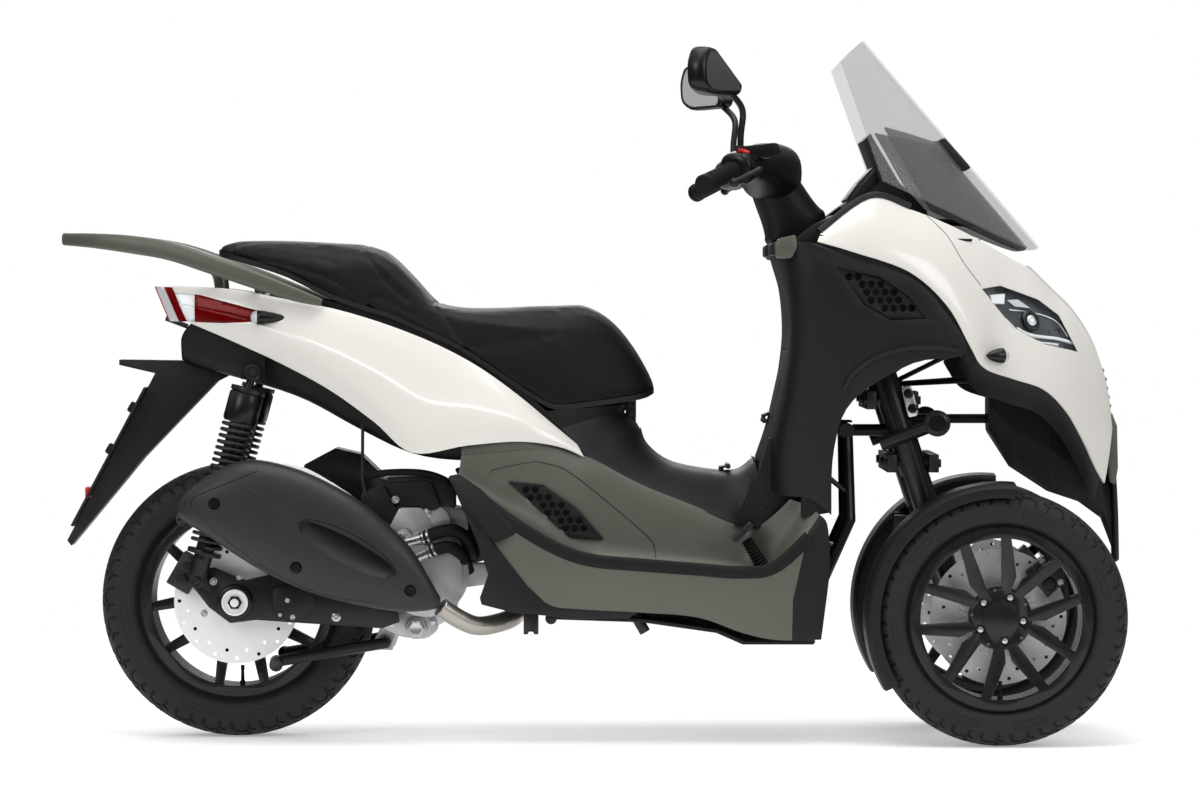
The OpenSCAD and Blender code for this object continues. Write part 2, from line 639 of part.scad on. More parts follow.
module grab_rail() {
    half = [[-512, -162, 836], [-560, -166, 851], [-640, -166, 880], [-720, -160, 908], [-800, -148, 934],
        [-880, -134, 947], [-950, -112, 954], [-999, -72, 957], [-1012, -24, 958]];
    thick = [5, 10, 15, 18, 17, 14, 11, 9, 8];
    wide = [7, 13, 17, 18, 18, 17, 14, 12, 12];
    path = concat(half, reversed([for (p = half) mirrored(p)]));
    n = len(half);
    color(grey_green) {
        // Carrier plate with the holes of a top box
        difference() {
            translate([-958, -104, 943])
                cube([110, 208, 8]);
            for (x = [-936, -870], y = [-60, 60])
                translate([x, y, 930])
                    cylinder(h = 40, r = 4.5);
        }
        loft([for (i = [0:2 * n - 1]) let (k = i < n ? i : 2 * n - 1 - i)
            path_ring(path, i, thick[k], wide[k], 10, [0, 0, 1], 0.7)]);
        both_sides() {
            pipe_run([[-724, -152, 906], [-716, -88, 884], [-712, -80, 846.5]], 8);
            pipe_run([[-644, -160, 880], [-640, -100, 872], [-636, -94, 853.5]], 7);
        }
    }
}

module floor_panels() {
    color(grey_green)
        both_sides()
            difference() {
                skin(floor_grid, panel_t);
                rear_vent() side_plate(rear_vent_outline, -30, 30);
            }
}

module tunnel_cover() {
    color(black_plastic)
        difference() {
            skin(tunnel_grid, panel_t);
            // Slot for the seat's hinge and opening of the filler
            translate([seat_hinge[0] - 34, -50, 594])
                cube([80, 100, 60]);
            translate([fuel_back, -50, 480])
                cube([fuel_front - fuel_back, 100, 60]);
        }
}

module fuel_lid() {
    color(black_plastic)
        difference() {
            union() {
                intersection() {
                    skin(tunnel_grid, panel_t);
                    translate([fuel_back + 2, -48, 480])
                        cube([fuel_front - fuel_back - 4, 96, 60]);
                }
                along_y(fuel_pin[0], fuel_pin[2], -30, 30, 5);
                side_plate([for (p = [[-12, -10], [-3, -10], [-3, -3.5], [5, -3.5], [5, 2], [-12, -1]])
                    [fuel_front + p[0], fuel_pin[2] + p[1]]], -26, 26);
            }
            along_y(fuel_pin[0], fuel_pin[2], -40, 40, 2.5 + running_gap);
        }
}

module glove_lid() {
    color(black_plastic)
        difference() {
            union() {
                intersection() {
                    skin(shield_grid, panel_t);
                    translate([stretch_x(300), -116, 616])
                        cube([stretch_x(400) - stretch_x(300), 232, 128]);
                }
                along_y(glove_pin[0], glove_pin[2], -30, 30, 5);
                side_plate([for (p = [[-4, 0], [3, 0], [3, 8.5], [12, 8.5], [12, 17], [-4, 11]])
                    glove_side + p], -26, 26);
            }
            along_y(glove_pin[0], glove_pin[2], -40, 40, 2.5 + running_gap);
        }
}

module glove_box() {
    color(black_plastic)
        difference() {
            side_plate([at2(356, 608), at2(392, 756), at2(466, 756), at2(466, 608)], -126, 126);
            side_plate([at2(340, 612), at2(340, 752), at2(462, 752), at2(462, 612)], -120, 120);
        }
    // Foot on the frame's cross tube
    color(black_plastic)
        side_plate([at2(440, 605.4), at2(502, 605.4), at2(502, 609), at2(440, 609)], -40, 40);
}

module fuel_tank() {
    color(satin_black) {
        side_plate([at2(110, 336), at2(110, 430), at2(140, 468), at2(286, 430), at2(286, 336)], -88, 88);
        rod(at(205, 0, 440), at(205, 0, 494), 30);
        for (x = [140, 230], y = [-60, 60])
            rod(at(x, y, 284 + frame_r - 4 + seat_gap), at(x, y, 340), 7);
    }
}

module lid_hinges() {
    color(satin_black)
        for (p = [fuel_pin, glove_pin]) {
            along_y(p[0], p[2], -44, 44, 2.5);
            along_y(p[0], p[2], -44, -31, 5);
            along_y(p[0], p[2], 31, 44, 5);
        }
}

module belly_pan() {
    color(black_plastic) {
        side_plate([[-84, 238], at2(96, 232), at2(236, 212), at2(286, 190), at2(420, 190), at2(424, 196), at2(290, 197),
            at2(240, 219), at2(96, 239), [-84, 245]], -218, 218);
        both_sides()
            rod(at(100, -115, 238), at(100, -115, 272), 7);
    }
}

function at2(x, z) = [stretch_x(x), z];

module leg_shield() {
    color(black_plastic)
        difference() {
            skin(shield_grid, panel_t);
            translate([stretch_x(300), -118, 614])
                cube([stretch_x(400) - stretch_x(300), 236, 132]);
            for (m = [0, 1])
                mirror([0, m, 0])
                    front_vent()
                        side_plate(front_vent_outline, -40, 40);
        }
}

front_vent_outline = [at2(457, 903), at2(540, 884), at2(594, 850), at2(630, 806), at2(561, 803), at2(510, 832)];
rear_vent_outline = [[-160, 498], [-90, 490], [-26, 446], at2(26, 386), at2(-38, 390)];

// Place of the front vent in the leg shield's side
module front_vent() {
    translate(at(457, -half_shield + 1, 0))
        rotate([0, 0, 6.3])
            translate(-at(457, 0, 0))
                children();
}

// Place of the rear vent in the floor panel's wall
module rear_vent() {
    translate([-66, -184, 0])
        rotate([0, 0, 11])
            translate([66, 0, 0])
                children();
}

// A plate of six-sided holes with a plain border
module honeycomb(outline, y0, y1, pitch) {
    x = [for (p = outline) p[0]];
    z = [for (p = outline) p[1]];
    translate([0, y1, 0])
        rotate([90, 0, 0])
            linear_extrude(y1 - y0)
                difference() {
                    polygon(outline);
                    for (i = [0:floor((max(x) - min(x)) / pitch)], k = [0:floor((max(z) - min(z)) / (pitch * 0.866))]) {
                        c = [min(x) + pitch * (i + (k % 2) * 0.5), min(z) + pitch * 0.866 * (k + 0.5)];
                        if (inside(c, inset(outline, pitch * 0.75)))
                            translate(c)
                                rotate(30)
                                    circle(r = pitch * 0.47, $fn = 6);
                    }
                }
}

// Whether a point lies in an outline
function inside(p, o) =
    let (n = len(o), hits = [for (i = [0:n - 1]) let (a = o[i], b = o[(i + 1) % n])
        if ((a[1] > p[1]) != (b[1] > p[1]) && p[0] < a[0] + (p[1] - a[1]) / (b[1] - a[1]) * (b[0] - a[0])) 1])
    len(hits) % 2 == 1;

module vent_grilles() {
    color(satin_black)
        both_sides() {
            front_vent()
                honeycomb(inset(front_vent_outline, 0.8), 1, 4, 17);
            rear_vent()
                honeycomb(inset(rear_vent_outline, 0.8), -3, 0, 17);
        }
}

module fairing_sides() {
    color(white_paint)
        both_sides()
            difference() {
                skin(fairing_grid, panel_t);
                side_plate(headlamp_outline, -330, -20);
            }
}

module headlamps() {
    color([0.75, 0.78, 0.80])
        both_sides()
            intersection() {
                skin(fairing_grid, 12);
                side_plate(inset(headlamp_outline, 0.8), -330, -20);
            }
}

module nose_cover() {
    color(white_paint)
        skin([for (i = [0:7]) nose_grid[i]], panel_t);
}

// Strip down the middle of the nose, below the painted cover
module nose_strip() {
    top = lerp(nose_grid[7], nose_grid[8], seam / 36);
    color(black_plastic)
        skin(concat([top], [for (i = [8:16]) nose_grid[i]]), panel_t);
}

module nose_liner() {
    stations = [[764, 585, 692, 50], [806, 520, 668, 58], [880, 472, 636, 60], [940, 452, 575, 52], [984, 420, 520, 38],
        [1004, 366, 500, 26]];
    color(black_plastic) {
        loft([for (s = stations) [for (k = [0:11]) let (a = -30 * k, c = cos(a), d = sin(a))
            at(s[0], -s[3] * sign(c) * pow(abs(c), 0.6), lerp(s[1], s[2], 0.5 + 0.5 * sign(d) * pow(abs(d), 0.6)))]]);
        rod(at(990, 0, 430), at(1013.2, 0, 430), 5);
    }
}

module screen_mount() {
    color([0.10, 0.10, 0.11]) {
        skin(mount_grid, panel_t);
        for (k = [3, 9], i = [1, 3])
            screen_peg(screen_grid[i][k + 1], grid_normal(screen_grid, i, k + 1));
    }
}

// A peg that reaches from the screen's mount to the screen
module screen_peg(point, outward) {
    ball = point - outward * (screen_t + stud_r + seat_gap);
    translate(ball)
        sphere(r = stud_r);
    rod(ball - outward * 12, ball, stud_r * 0.8);
}

module windscreen() {
    color([0.75, 0.82, 0.85, 0.4])
        skin(screen_grid, screen_t);
}

module dashboard() {
    color(black_plastic) {
        both_sides()
            stud(at(625, -50, 996), mount_grid[1][8], grid_normal(mount_grid, 1, 8));
        side_plate([at2(486, 972), at2(482, 1000), at2(522, 1040), at2(550, 1066), at2(520, 1146), at2(532, 1158),
            at2(586, 1066), at2(640, 1010), at2(640, 972)], -120, 120);
    }
}

module brake_pedal() {
    color(satin_black) {
        rod(at(262, -205, 338), at(300, -205, 396), 9);
        translate(at(300, -205, 396))
            rotate([0, -42, 0])
                cube([14, 56, 46], center = true);
    }
}

module tilt_arms() {
    color(cast_alloy)
        for (z = arm_heights, side = [-1, 1])
            difference() {
                translate([kingpin_x(z) + side * 40 - 9, -kingpin_y - 18, z - 17])
                    cube([18, 2 * kingpin_y + 36, 34]);
                for (y = [-kingpin_y, 0, kingpin_y])
                    rod([kingpin_x(z) - 60, y, z], [kingpin_x(z) + 60, y, z], (y == 0 ? 9 : 8) + running_gap);
            }
}

module uprights() {
    color(satin_black)
        both_sides() {
            difference() {
                rod(kingpin_at(440), kingpin_at(695), 24);
                rod(kingpin_at(430), kingpin_at(565), kingpin_r + running_gap);
            }
            for (z = arm_heights)
                for (side = [-1, 1])
                    rod([kingpin_x(z) + side * 20, -kingpin_y, z], [kingpin_x(z) + side * 54, -kingpin_y, z], 8);
            // Link of the roll lock
            rod([kingpin_x(570) - 50, -170, 566], [kingpin_x(610) + 70, -170, 607], 13);
            along_y(kingpin_x(610) + 70, 607, -182, -158, 25);
            rod([kingpin_x(575), -kingpin_y, 575], [kingpin_x(575), -172, 582], 11);
        }
}

// Handlebar group
grip_inner = at(270, -256, 1086);
grip_outer = at(270 - 60 * (bar_w / 2 - 256) / 106, -bar_w / 2, 1086 - 30 * (bar_w / 2 - 256) / 106);
grip_axis = unit(grip_outer - grip_inner);

module handlebar() {
    color(satin_black) {
        rod(bar_top + 60.4 * bar_axis, bar_top + 296 * bar_axis, stem_r);
        both_sides()
            rod(grip_inner - grip_axis * 40, grip_outer - grip_axis * 4, 11);
    }
}

// Neck of the bar cover: distance down the bar's axis, half length and half width
bar_neck = [[16, 44, 58], [50, 49, 58], [90, 54, 56], [112, 59, 54], [126, 66, 52]];
function neck_ring(s) = [for (k = [0:15]) let (a = -360 * k / 16, c = cos(a), d = sin(a))
    bar_top + s[0] * bar_axis + s[1] * sign(c) * pow(abs(c), 0.8) * [cos(bar_rake), 0, sin(bar_rake)]
        + [0, s[2] * sign(d) * pow(abs(d), 0.8), 0]];

module bar_cover() {
    stations = [[-214, 296, 1095, 24, 21], [-190, 306, 1098, 32, 29], [-150, 320, 1099, 41, 37], [-100, 334, 1095, 50, 46],
        [-50, 344, 1088, 56, 53], [0, 348, 1086, 58, 55], [50, 344, 1088, 56, 53], [100, 334, 1095, 50, 46],
        [150, 320, 1099, 41, 37], [190, 306, 1098, 32, 29], [214, 296, 1095, 24, 21]];
    color(black_plastic)
        difference() {
            union() {
                loft([for (s = stations) [for (k = [0:13]) let (a = 360 * k / 14, c = cos(a), d = sin(a))
                    at(s[1] - s[3] * sign(c) * pow(abs(c), 0.8), s[0], s[2] + s[4] * sign(d) * pow(abs(d), 0.8))]]);
                rod(bar_top + 10 * bar_axis, bar_top + 150 * bar_axis, 38);
                loft([for (s = bar_neck) neck_ring(s)]);
            }
            rod(bar_top + 60 * bar_axis, bar_top + 160 * bar_axis, stem_r + running_gap);
        }
}

module grips() {
    color([0.04, 0.04, 0.04])
        both_sides()
            difference() {
                union() {
                    rod(grip_inner, grip_outer, 17);
                    rod(grip_inner, grip_inner + grip_axis * 6, 23);
                }
                rod(grip_inner - grip_axis * 20, grip_outer - grip_axis * 3.9, 11 + running_gap);
            }
}

module levers() {
    color(satin_black)
        both_sides()
            difference() {
                union() {
                    rod(grip_inner - grip_axis * 34, grip_inner - grip_axis * 2, 22);
                    pipe_run([grip_inner - grip_axis * 20, grip_inner + [46, -6, 0], grip_inner + [44, -34, -2],
                        grip_outer + [58, 20, 4]], 6);
                    translate(grip_outer + [58, 20, 4])
                        sphere(r = 8.5);
                }
                rod(grip_inner - grip_axis * 60, grip_outer, 11 + running_gap);
            }
}

// Mirrors: the shell's middle and how far its face turns towards the rider
mirror_turn = 34;
mirror_mid = [stretch_x(218), -mirror_span / 2 + 68, 1268];
// Half width, half height and depth from the glass forwards
mirror_stations = [[70, 36, 0], [78, 44, 8], [78, 44, 18], [66, 36, 32], [40, 22, 42]];
function mirror_ring(s) = [for (k = [0:15]) let (a = -360 * k / 16, c = cos(a), d = sin(a))
    [s[2], s[0] * sign(c) * pow(abs(c), 0.75), s[1] * sign(d) * pow(abs(d), 0.75)]];

module mirror_place() {
    translate(mirror_mid)
        rotate([0, 0, -mirror_turn])
            children();
}

module mirrors() {
    color(grey_green)
        both_sides() {
            difference() {
                mirror_place()
                    loft([for (s = reversed(mirror_stations)) mirror_ring(s)]);
                mirror_place()
                    loft([mirror_ring([66, 32, 4]), mirror_ring([66, 32, -5])]);
            }
            pipe_run([grip_inner - grip_axis * 20 + 23.2 * unit([0, 0, 1] - grip_axis * grip_axis[2]), at(284, -262, 1196),
                at(262, -300, 1224), mirror_mid + [20, -14, -30]], 7);
        }
}

module mirror_glass() {
    color([0.8, 0.85, 0.9])
        both_sides()
            mirror_place()
                loft([mirror_ring([65.5, 31.5, 3.6]), mirror_ring([65.5, 31.5, 0.6])]);
}

// Front wheel carriers and wheels are drawn for the right side
module knuckle() {
    x = front_axle_x;
    z = front_axle_z;
    rod(kingpin_at(562), kingpin_at(420), kingpin_r);
    rod(kingpin_at(438), kingpin_at(z + 4), 21);
    side_plate([[kingpin_x(320) - 16, 320], [kingpin_x(z) - 20, z - 14], [x, z - 34], [x + 30, z], [x, z + 34],
        [kingpin_x(320) + 20, 320]], -154, -122);
    along_y(x, z, -178, -122, 36);
    along_y(x, z, -wheel_y - 18.4, -170, spindle_r);
    along_y(x, z, -wheel_y - 27, -wheel_y - 18.2, 20);
    // Brake caliper on its bracket
    side_plate([[x - 14, z + 22], [x + 22, z - 10], [x + 104, z + 48], [x + 56, z + 96]], -180, -156);
    difference() {
        translate([x, 0, z])
            rotate([0, -41, 0])
                translate([94, -front_disc_y - 20, -32])
                    cube([46, 46, 64]);
        along_y(x, z, -front_disc_y - 5, -front_disc_y + 5, front_disc_d / 2 + 3);
    }
    // Arm of the mudguard
    side_plate([[kingpin_x(400), 416], [kingpin_x(400) - 60, 420], [kingpin_x(400) - 60, 396], [kingpin_x(400), 384]],
        -157.6, -128);
}

module knuckle_right() {
    color(satin_black)
        knuckle();
}

module knuckle_left() {
    color(satin_black)
        mirror([0, 1, 0])
            knuckle();
}

module mudguard() {
    r = front_tyre_d / 2 + mudguard_gap;
    w = front_tyre_w / 2 + 9;
    translate([front_axle_x, -wheel_y, front_axle_z])
        rotate([90, 0, 0])
            rotate(84)
                rotate_extrude(angle = 128, $fn = 96)
                    polygon([[r - 26, -w], [r - 8, -w], [r + 1, -w + 12], [r + 4, 0], [r + 1, w - 12], [r - 8, w],
                        [r - 26, w], [r - 26, w - 3], [r - 9, w - 3], [r - 2, w - 13], [r + 1, 0],
                        [r - 2, -w + 13], [r - 9, -w + 3], [r - 26, -w + 3]]);
    // Ear towards the wheel carrier
    side_plate([[kingpin_x(400) - 64, 424], [kingpin_x(400) - 64, 392], [kingpin_x(400) - 24, 392],
        [kingpin_x(400) - 24, 424]], -wheel_y + w - 1.4, -158);
}

module mudguard_right() {
    color(black_plastic)
        mudguard();
}

module mudguard_left() {
    color(black_plastic)
        mirror([0, 1, 0])
            mudguard();
}

// A wheel lying in the XY plane with its outer face up: rim radius, half width, hub, bore
module wheel_rim(rim_d, half_w, spoke_low, spoke_high, spoke_w, hub_r, turn) {
    r = rim_d / 2;
    rotate_extrude($fn = 96)
        polygon([[r - 13, -half_w], [r + 7, -half_w], [r + 8, -half_w + 4], [r, -half_w + 9], [r - 1, -half_w + 25],
            [r - 7, -half_w + 32], [r - 7, half_w - 32], [r - 1, half_w - 25], [r, half_w - 9], [r + 8, half_w - 4],
            [r + 7, half_w], [r - 13, half_w], [r - 12, half_w - 18], [r - 13, 0], [r - 12, -half_w + 18]]);
    for (k = [0:spoke_count - 1])
        rotate(turn + 360 * k / spoke_count)
            translate([0, 0, spoke_low])
                linear_extrude(spoke_high - spoke_low)
                    for (s = [-1, 1])
                        polygon([[hub_r - 8, s * 3], [hub_r - 6, s * (spoke_w * 1.2 + 3)], polar(r - 10, s * (21 + spoke_w / 4.4)),
                            polar(r - 10, s * (21 - spoke_w / 4.4)), [hub_r + 26, s * 6]]);
}

module front_rim() {
    bore = spindle_r + running_gap;
    half_w = front_tyre_w / 2 - 9;
    color(satin_black)
        translate([front_axle_x, -wheel_y, front_axle_z])
            rotate([90, 0, 0])
                difference() {
                    union() {
                        wheel_rim(front_rim_d, half_w, 4, 24, 15, 58, 65);
                        translate([0, 0, -44])
                            cylinder(h = 80, r = 34);
                        cylinder(h = 22, r = 60);
                        translate([0, 0, -27.6])
                            cylinder(h = 28, r = 48);
                    }
                    translate([0, 0, -60])
                        cylinder(h = 78, r = bore);
                    translate([0, 0, 17])
                        cylinder(h = 14, r = 24);
                    for (k = [0:spoke_count - 1])
                        rotate(65 + 360 * k / spoke_count)
                            translate([43, 0, 15])
                                cylinder(h = 20, r = 9);
                }
}

module tyre(d, w, rim_d, rim_half) {
    r = d / 2;
    b = rim_d / 2 + 0.3;
    h = w / 2;
    bead = rim_half - 10.5;
    // Half of the section: share of the height above the bead, distance from the middle plane
    outside = [[0, bead], [0.14, bead], [0.23, h - 6], [0.5, h - 0.5], [0.66, h], [0.8, h - 7], [0.91, h - 20],
        [0.975, h - 36], [1, 0]];
    inside = [[0, bead - 12], [0.13, bead - 9], [0.53, h - 12], [0.74, h - 16], [0.855, h - 36], [0.87, 0]];
    half = concat(outside, reversed(inside));
    points = [for (p = half) [lerp(b, r, p[0]), p[1]]];
    rotate_extrude($fn = 128) {
        polygon(points);
        polygon([for (p = points) [p[0], -p[1]]]);
    }
}

module front_tyre() {
    color([0.04, 0.04, 0.04])
        translate([front_axle_x, -wheel_y, front_axle_z])
            rotate([90, 0, 0])
                tyre(front_tyre_d, front_tyre_w, front_rim_d, front_tyre_w / 2 - 9);
}

// Disc in the XY plane with rings of drilled holes
module brake_disc(d, bore_r, holes) {
    linear_extrude(disc_t, center = true)
        difference() {
            circle(r = d / 2, $fn = 96);
            circle(r = bore_r);
            for (k = [0:holes - 1])
                rotate(360 * k / holes) {
                    translate([d / 2 - 10, 0])
                        circle(r = 3.5, $fn = 16);
                    rotate(180 / holes)
                        translate([d / 2 - 24, 0])
                            circle(r = 3.5, $fn = 16);
                }
        }
}

module front_disc() {
    color(bright_steel)
        translate([front_axle_x, -front_disc_y, front_axle_z])
            rotate([90, 0, 0])
                brake_disc(front_disc_d, 34.3, 18);
}

module front_rim_right() {
    front_rim();
}

module front_tyre_right() {
    front_tyre();
}

module front_disc_right() {
    front_disc();
}

module front_rim_left() {
    mirror([0, 1, 0])
        front_rim();
}

module front_tyre_left() {
    mirror([0, 1, 0])
        front_tyre();
}

module front_disc_left() {
    mirror([0, 1, 0])
        front_disc();
}

module rear_rim() {
    color(satin_black)
        translate([rear_axle_x, 0, rear_axle_z])
            rotate([90, 0, 0]) {
                wheel_rim(rear_rim_d, rear_tyre_w / 2 - 12, 6, 30, 13, 50, 20);
                translate([0, 0, -80])
                    cylinder(h = rear_disc_y - disc_t / 2 + 79.6, r = 40);
                translate([0, 0, 4])
                    cylinder(h = 40, r = 54);
                // Axle stub in the drive case and the rear arm
                translate([0, 0, -128])
                    cylinder(h = 256, r = axle_r);
            }
}

module rear_tyre() {
    color([0.04, 0.04, 0.04])
        translate([rear_axle_x, 0, rear_axle_z])
            rotate([90, 0, 0])
                tyre(rear_tyre_d, rear_tyre_w, rear_rim_d, rear_tyre_w / 2 - 12);
}

module rear_disc() {
    color(bright_steel)
        translate([rear_axle_x, -rear_disc_y, rear_axle_z])
            rotate([90, 0, 0])
                brake_disc(rear_disc_d, axle_r + 8, 16);
}

// Seat: x, lower z, upper z, half width at the foot, half width at the top
half_seat = seat_w / 2;
seat_stations = [[-714, 926, 942, 66, 56], [-704, 922, 949, 96, 82], [-660, 910, 953, 120, 104], [-580, 884, 953, 136, 116],
    [-500, 844, 949, 147, 124], [-420, 816, 943, 155, 130], [-384, 805, 924, 158, 136], [-340, 786, 880, 160, 140],
    [-300, 768, 838, 162, 146], [-250, 744, 825, half_seat, 150], [-180, 698, 824, half_seat - 1, 148],
    [-120, 658, 827, half_seat - 4, 142], [-69, 632, 828, half_seat - 10, 132], [-10, 636, 828, 142, 114],
    [40, 642, 800, 124, 94], [80, 648, 752, 106, 76], [106, 654, 708, 84, 56], [120, 662, 678, 54, 36]];
function seat_ring(s) = let (x = stretch_x(s[0]), b = s[1], t = s[2], w = s[3], u = s[4], h = t - b,
    half = [[-u * 0.55, t - 2], [-u * 0.9, t - h * 0.08], [-lerp(u, w, 0.35), t - h * 0.22], [-lerp(u, w, 0.8), b + h * 0.4],
        [-w, b + h * 0.12], [-w * 0.97, b]])
    concat([[x, 0, t]], [for (p = half) [x, p[0], p[1]]], [[x, 0, b]], reversed([for (p = half) [x, -p[0], p[1]]]));

module seat() {
    color([0.08, 0.08, 0.08]) {
        difference() {
            union() {
                loft([for (s = seat_stations) seat_ring(s)]);
                // Hinge ears under the nose
                for (y = [-36, 24])
                    side_plate([[seat_hinge[0] - 10, 616], [seat_hinge[0] - 5, 610], [seat_hinge[0] + 5, 610],
                        [seat_hinge[0] + 10, 616], [seat_hinge[0] + 10, 664], [seat_hinge[0] - 10, 664]], y, y + 12);
            }
            along_y(seat_hinge[0], seat_hinge[2], -60, 60, 5 + running_gap);
        }
    }
}

module centre_stand() {
    p = stand_pivot;
    color(satin_black) {
        along_y(p[0], p[2], -100, 100, 10);
        both_sides() {
            rod([p[0] + 4, -93, p[2]], [p[0] - 206, -118, p[2] - 34], 11);
            rod([p[0] - 206, -118, p[2] - 34], [p[0] - 206, -140, p[2] - 40], 13);
        }
    }
}

frame();
head_frame();
engine();
cylinder_head();
air_box();
rear_arm();
exhaust_pipe();
silencer();
rear_shocks();
rear_springs();
plate_holder();
tail_lamps();
tail_cover();
indicators();
grab_rail();
storage_bin();
side_panels();
floor_panels();
tunnel_cover();
belly_pan();
leg_shield();
vent_grilles();
fairing_sides();
nose_cover();
nose_strip();
nose_liner();
headlamps();
screen_mount();
windscreen();
dashboard();
brake_pedal();
tilt_arms();
uprights();
glove_box();
fuel_tank();
lid_hinges();
handlebar();
bar_cover();
grips();
levers();
mirrors();
mirror_glass();
knuckle_right();
knuckle_left();
mudguard_right();
mudguard_left();
front_rim_right();
front_tyre_right();
front_disc_right();
front_rim_left();
front_tyre_left();
front_disc_left();
rear_rim();
rear_tyre();
rear_disc();
seat();
centre_stand();
glove_lid();
fuel_lid();
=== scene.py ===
import json
import math

import bmesh
import bpy
import numpy as np
from mathutils import Matrix, Vector
from mathutils.bvhtree import BVHTree
from mathutils.kdtree import KDTree

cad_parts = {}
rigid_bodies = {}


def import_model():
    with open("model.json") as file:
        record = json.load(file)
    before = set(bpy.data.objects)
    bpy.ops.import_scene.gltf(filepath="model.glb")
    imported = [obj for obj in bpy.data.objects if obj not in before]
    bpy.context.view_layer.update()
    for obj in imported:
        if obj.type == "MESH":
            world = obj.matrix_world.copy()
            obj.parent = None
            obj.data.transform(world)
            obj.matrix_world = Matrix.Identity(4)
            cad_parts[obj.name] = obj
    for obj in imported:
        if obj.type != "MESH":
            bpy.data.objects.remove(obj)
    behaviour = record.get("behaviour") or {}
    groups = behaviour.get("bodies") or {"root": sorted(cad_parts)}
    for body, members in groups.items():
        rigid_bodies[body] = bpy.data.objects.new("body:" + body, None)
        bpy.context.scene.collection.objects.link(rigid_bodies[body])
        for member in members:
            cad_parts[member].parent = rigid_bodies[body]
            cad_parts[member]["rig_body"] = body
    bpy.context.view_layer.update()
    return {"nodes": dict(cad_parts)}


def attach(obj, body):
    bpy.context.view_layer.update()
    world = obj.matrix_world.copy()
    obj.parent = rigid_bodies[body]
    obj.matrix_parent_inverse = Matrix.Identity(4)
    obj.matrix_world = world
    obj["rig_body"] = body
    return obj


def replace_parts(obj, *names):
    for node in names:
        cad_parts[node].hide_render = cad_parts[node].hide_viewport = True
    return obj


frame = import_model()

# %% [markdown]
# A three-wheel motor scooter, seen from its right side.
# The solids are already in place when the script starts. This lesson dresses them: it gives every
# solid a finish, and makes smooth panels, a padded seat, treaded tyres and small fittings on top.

nodes = frame["nodes"]
scene = bpy.context.scene
scene.view_settings.view_transform = "Standard"

# %% [markdown]
# The picture was taken from far away with a long lens, level with the seat and looking down by about
# a degree. A camera in Blender could be aimed by eye. Here its lens and tilt are computed from given
# numbers; the distance was found from how much smaller the far side is, and the lens from the width
# of the object in the picture.

# %% Camera
PHOTO_WIDTH = 1200
FOCAL_IN_PIXELS = 4866
HORIZON_ABOVE_MIDDLE = 100
CAMERA_PLACE = (0.0165, -9.4, 0.841)

camera_data = bpy.data.cameras.new("side_camera")
camera_data.sensor_width = 36
camera_data.lens = camera_data.sensor_width * FOCAL_IN_PIXELS / PHOTO_WIDTH
camera = bpy.data.objects.new("side_camera", camera_data)
camera.location = CAMERA_PLACE
tilt_down = math.atan(HORIZON_ABOVE_MIDDLE / FOCAL_IN_PIXELS)
camera.rotation_euler = (math.radians(90) - tilt_down, 0, 0)
scene.collection.objects.link(camera)
scene.camera = camera
print("lens:", round(camera_data.lens, 1), "mm, tilt:", round(math.degrees(tilt_down), 2), "degrees")

# %% [markdown]
# The studio is white all round to the camera and through glass. What lights and mirrors in the
# scooter is a dome that is bright above and dim at the sides, so that black plastic stays black and
# tops are lighter than flanks. Large soft lamps then model the shapes, as in product pictures.

# %% World and lamps
DOME_SIDE = 0.13
DOME_TOP = 0.95
world = bpy.data.worlds.new("white_studio")
scene.world = world
world.use_nodes = True
sky = world.node_tree
sky.nodes.clear()
sky_out = sky.nodes.new("ShaderNodeOutputWorld")
sky_mix = sky.nodes.new("ShaderNodeMixShader")
dome = sky.nodes.new("ShaderNodeBackground")
dome.inputs["Color"].default_value = (1, 1, 1, 1)
white_back = sky.nodes.new("ShaderNodeBackground")
white_back.inputs["Color"].default_value = (1, 1, 1, 1)
white_back.inputs["Strength"].default_value = 1.0
direction = sky.nodes.new("ShaderNodeTexCoord")
parts = sky.nodes.new("ShaderNodeSeparateXYZ")
rise = sky.nodes.new("ShaderNodeMapRange")
for socket, value in (("From Min", 0.05), ("From Max", 0.9), ("To Min", DOME_SIDE), ("To Max", DOME_TOP)):
    rise.inputs[socket].default_value = value
sky.links.new(direction.outputs["Generated"], parts.inputs[0])
sky.links.new(parts.outputs["Z"], rise.inputs["Value"])
sky.links.new(rise.outputs["Result"], dome.inputs["Strength"])
ray = sky.nodes.new("ShaderNodeLightPath")
plain_ray = sky.nodes.new("ShaderNodeMath")
plain_ray.operation = "MAXIMUM"
sky.links.new(ray.outputs["Is Camera Ray"], plain_ray.inputs[0])
sky.links.new(ray.outputs["Is Transmission Ray"], plain_ray.inputs[1])
sky.links.new(plain_ray.outputs[0], sky_mix.inputs["Fac"])
sky.links.new(dome.outputs[0], sky_mix.inputs[1])
sky.links.new(white_back.outputs[0], sky_mix.inputs[2])
sky.links.new(sky_mix.outputs[0], sky_out.inputs["Surface"])


def soft_lamp(name, place, target, size, power):
    """A square area lamp at place, turned towards target."""
    data = bpy.data.lights.new(name, "AREA")
    data.shape = "SQUARE"
    data.size = size
    data.energy = power
    lamp = bpy.data.objects.new(name, data)
    lamp.location = place
    lamp.rotation_euler = (Vector(target) - Vector(place)).to_track_quat("-Z", "Y").to_euler()
    scene.collection.objects.link(lamp)


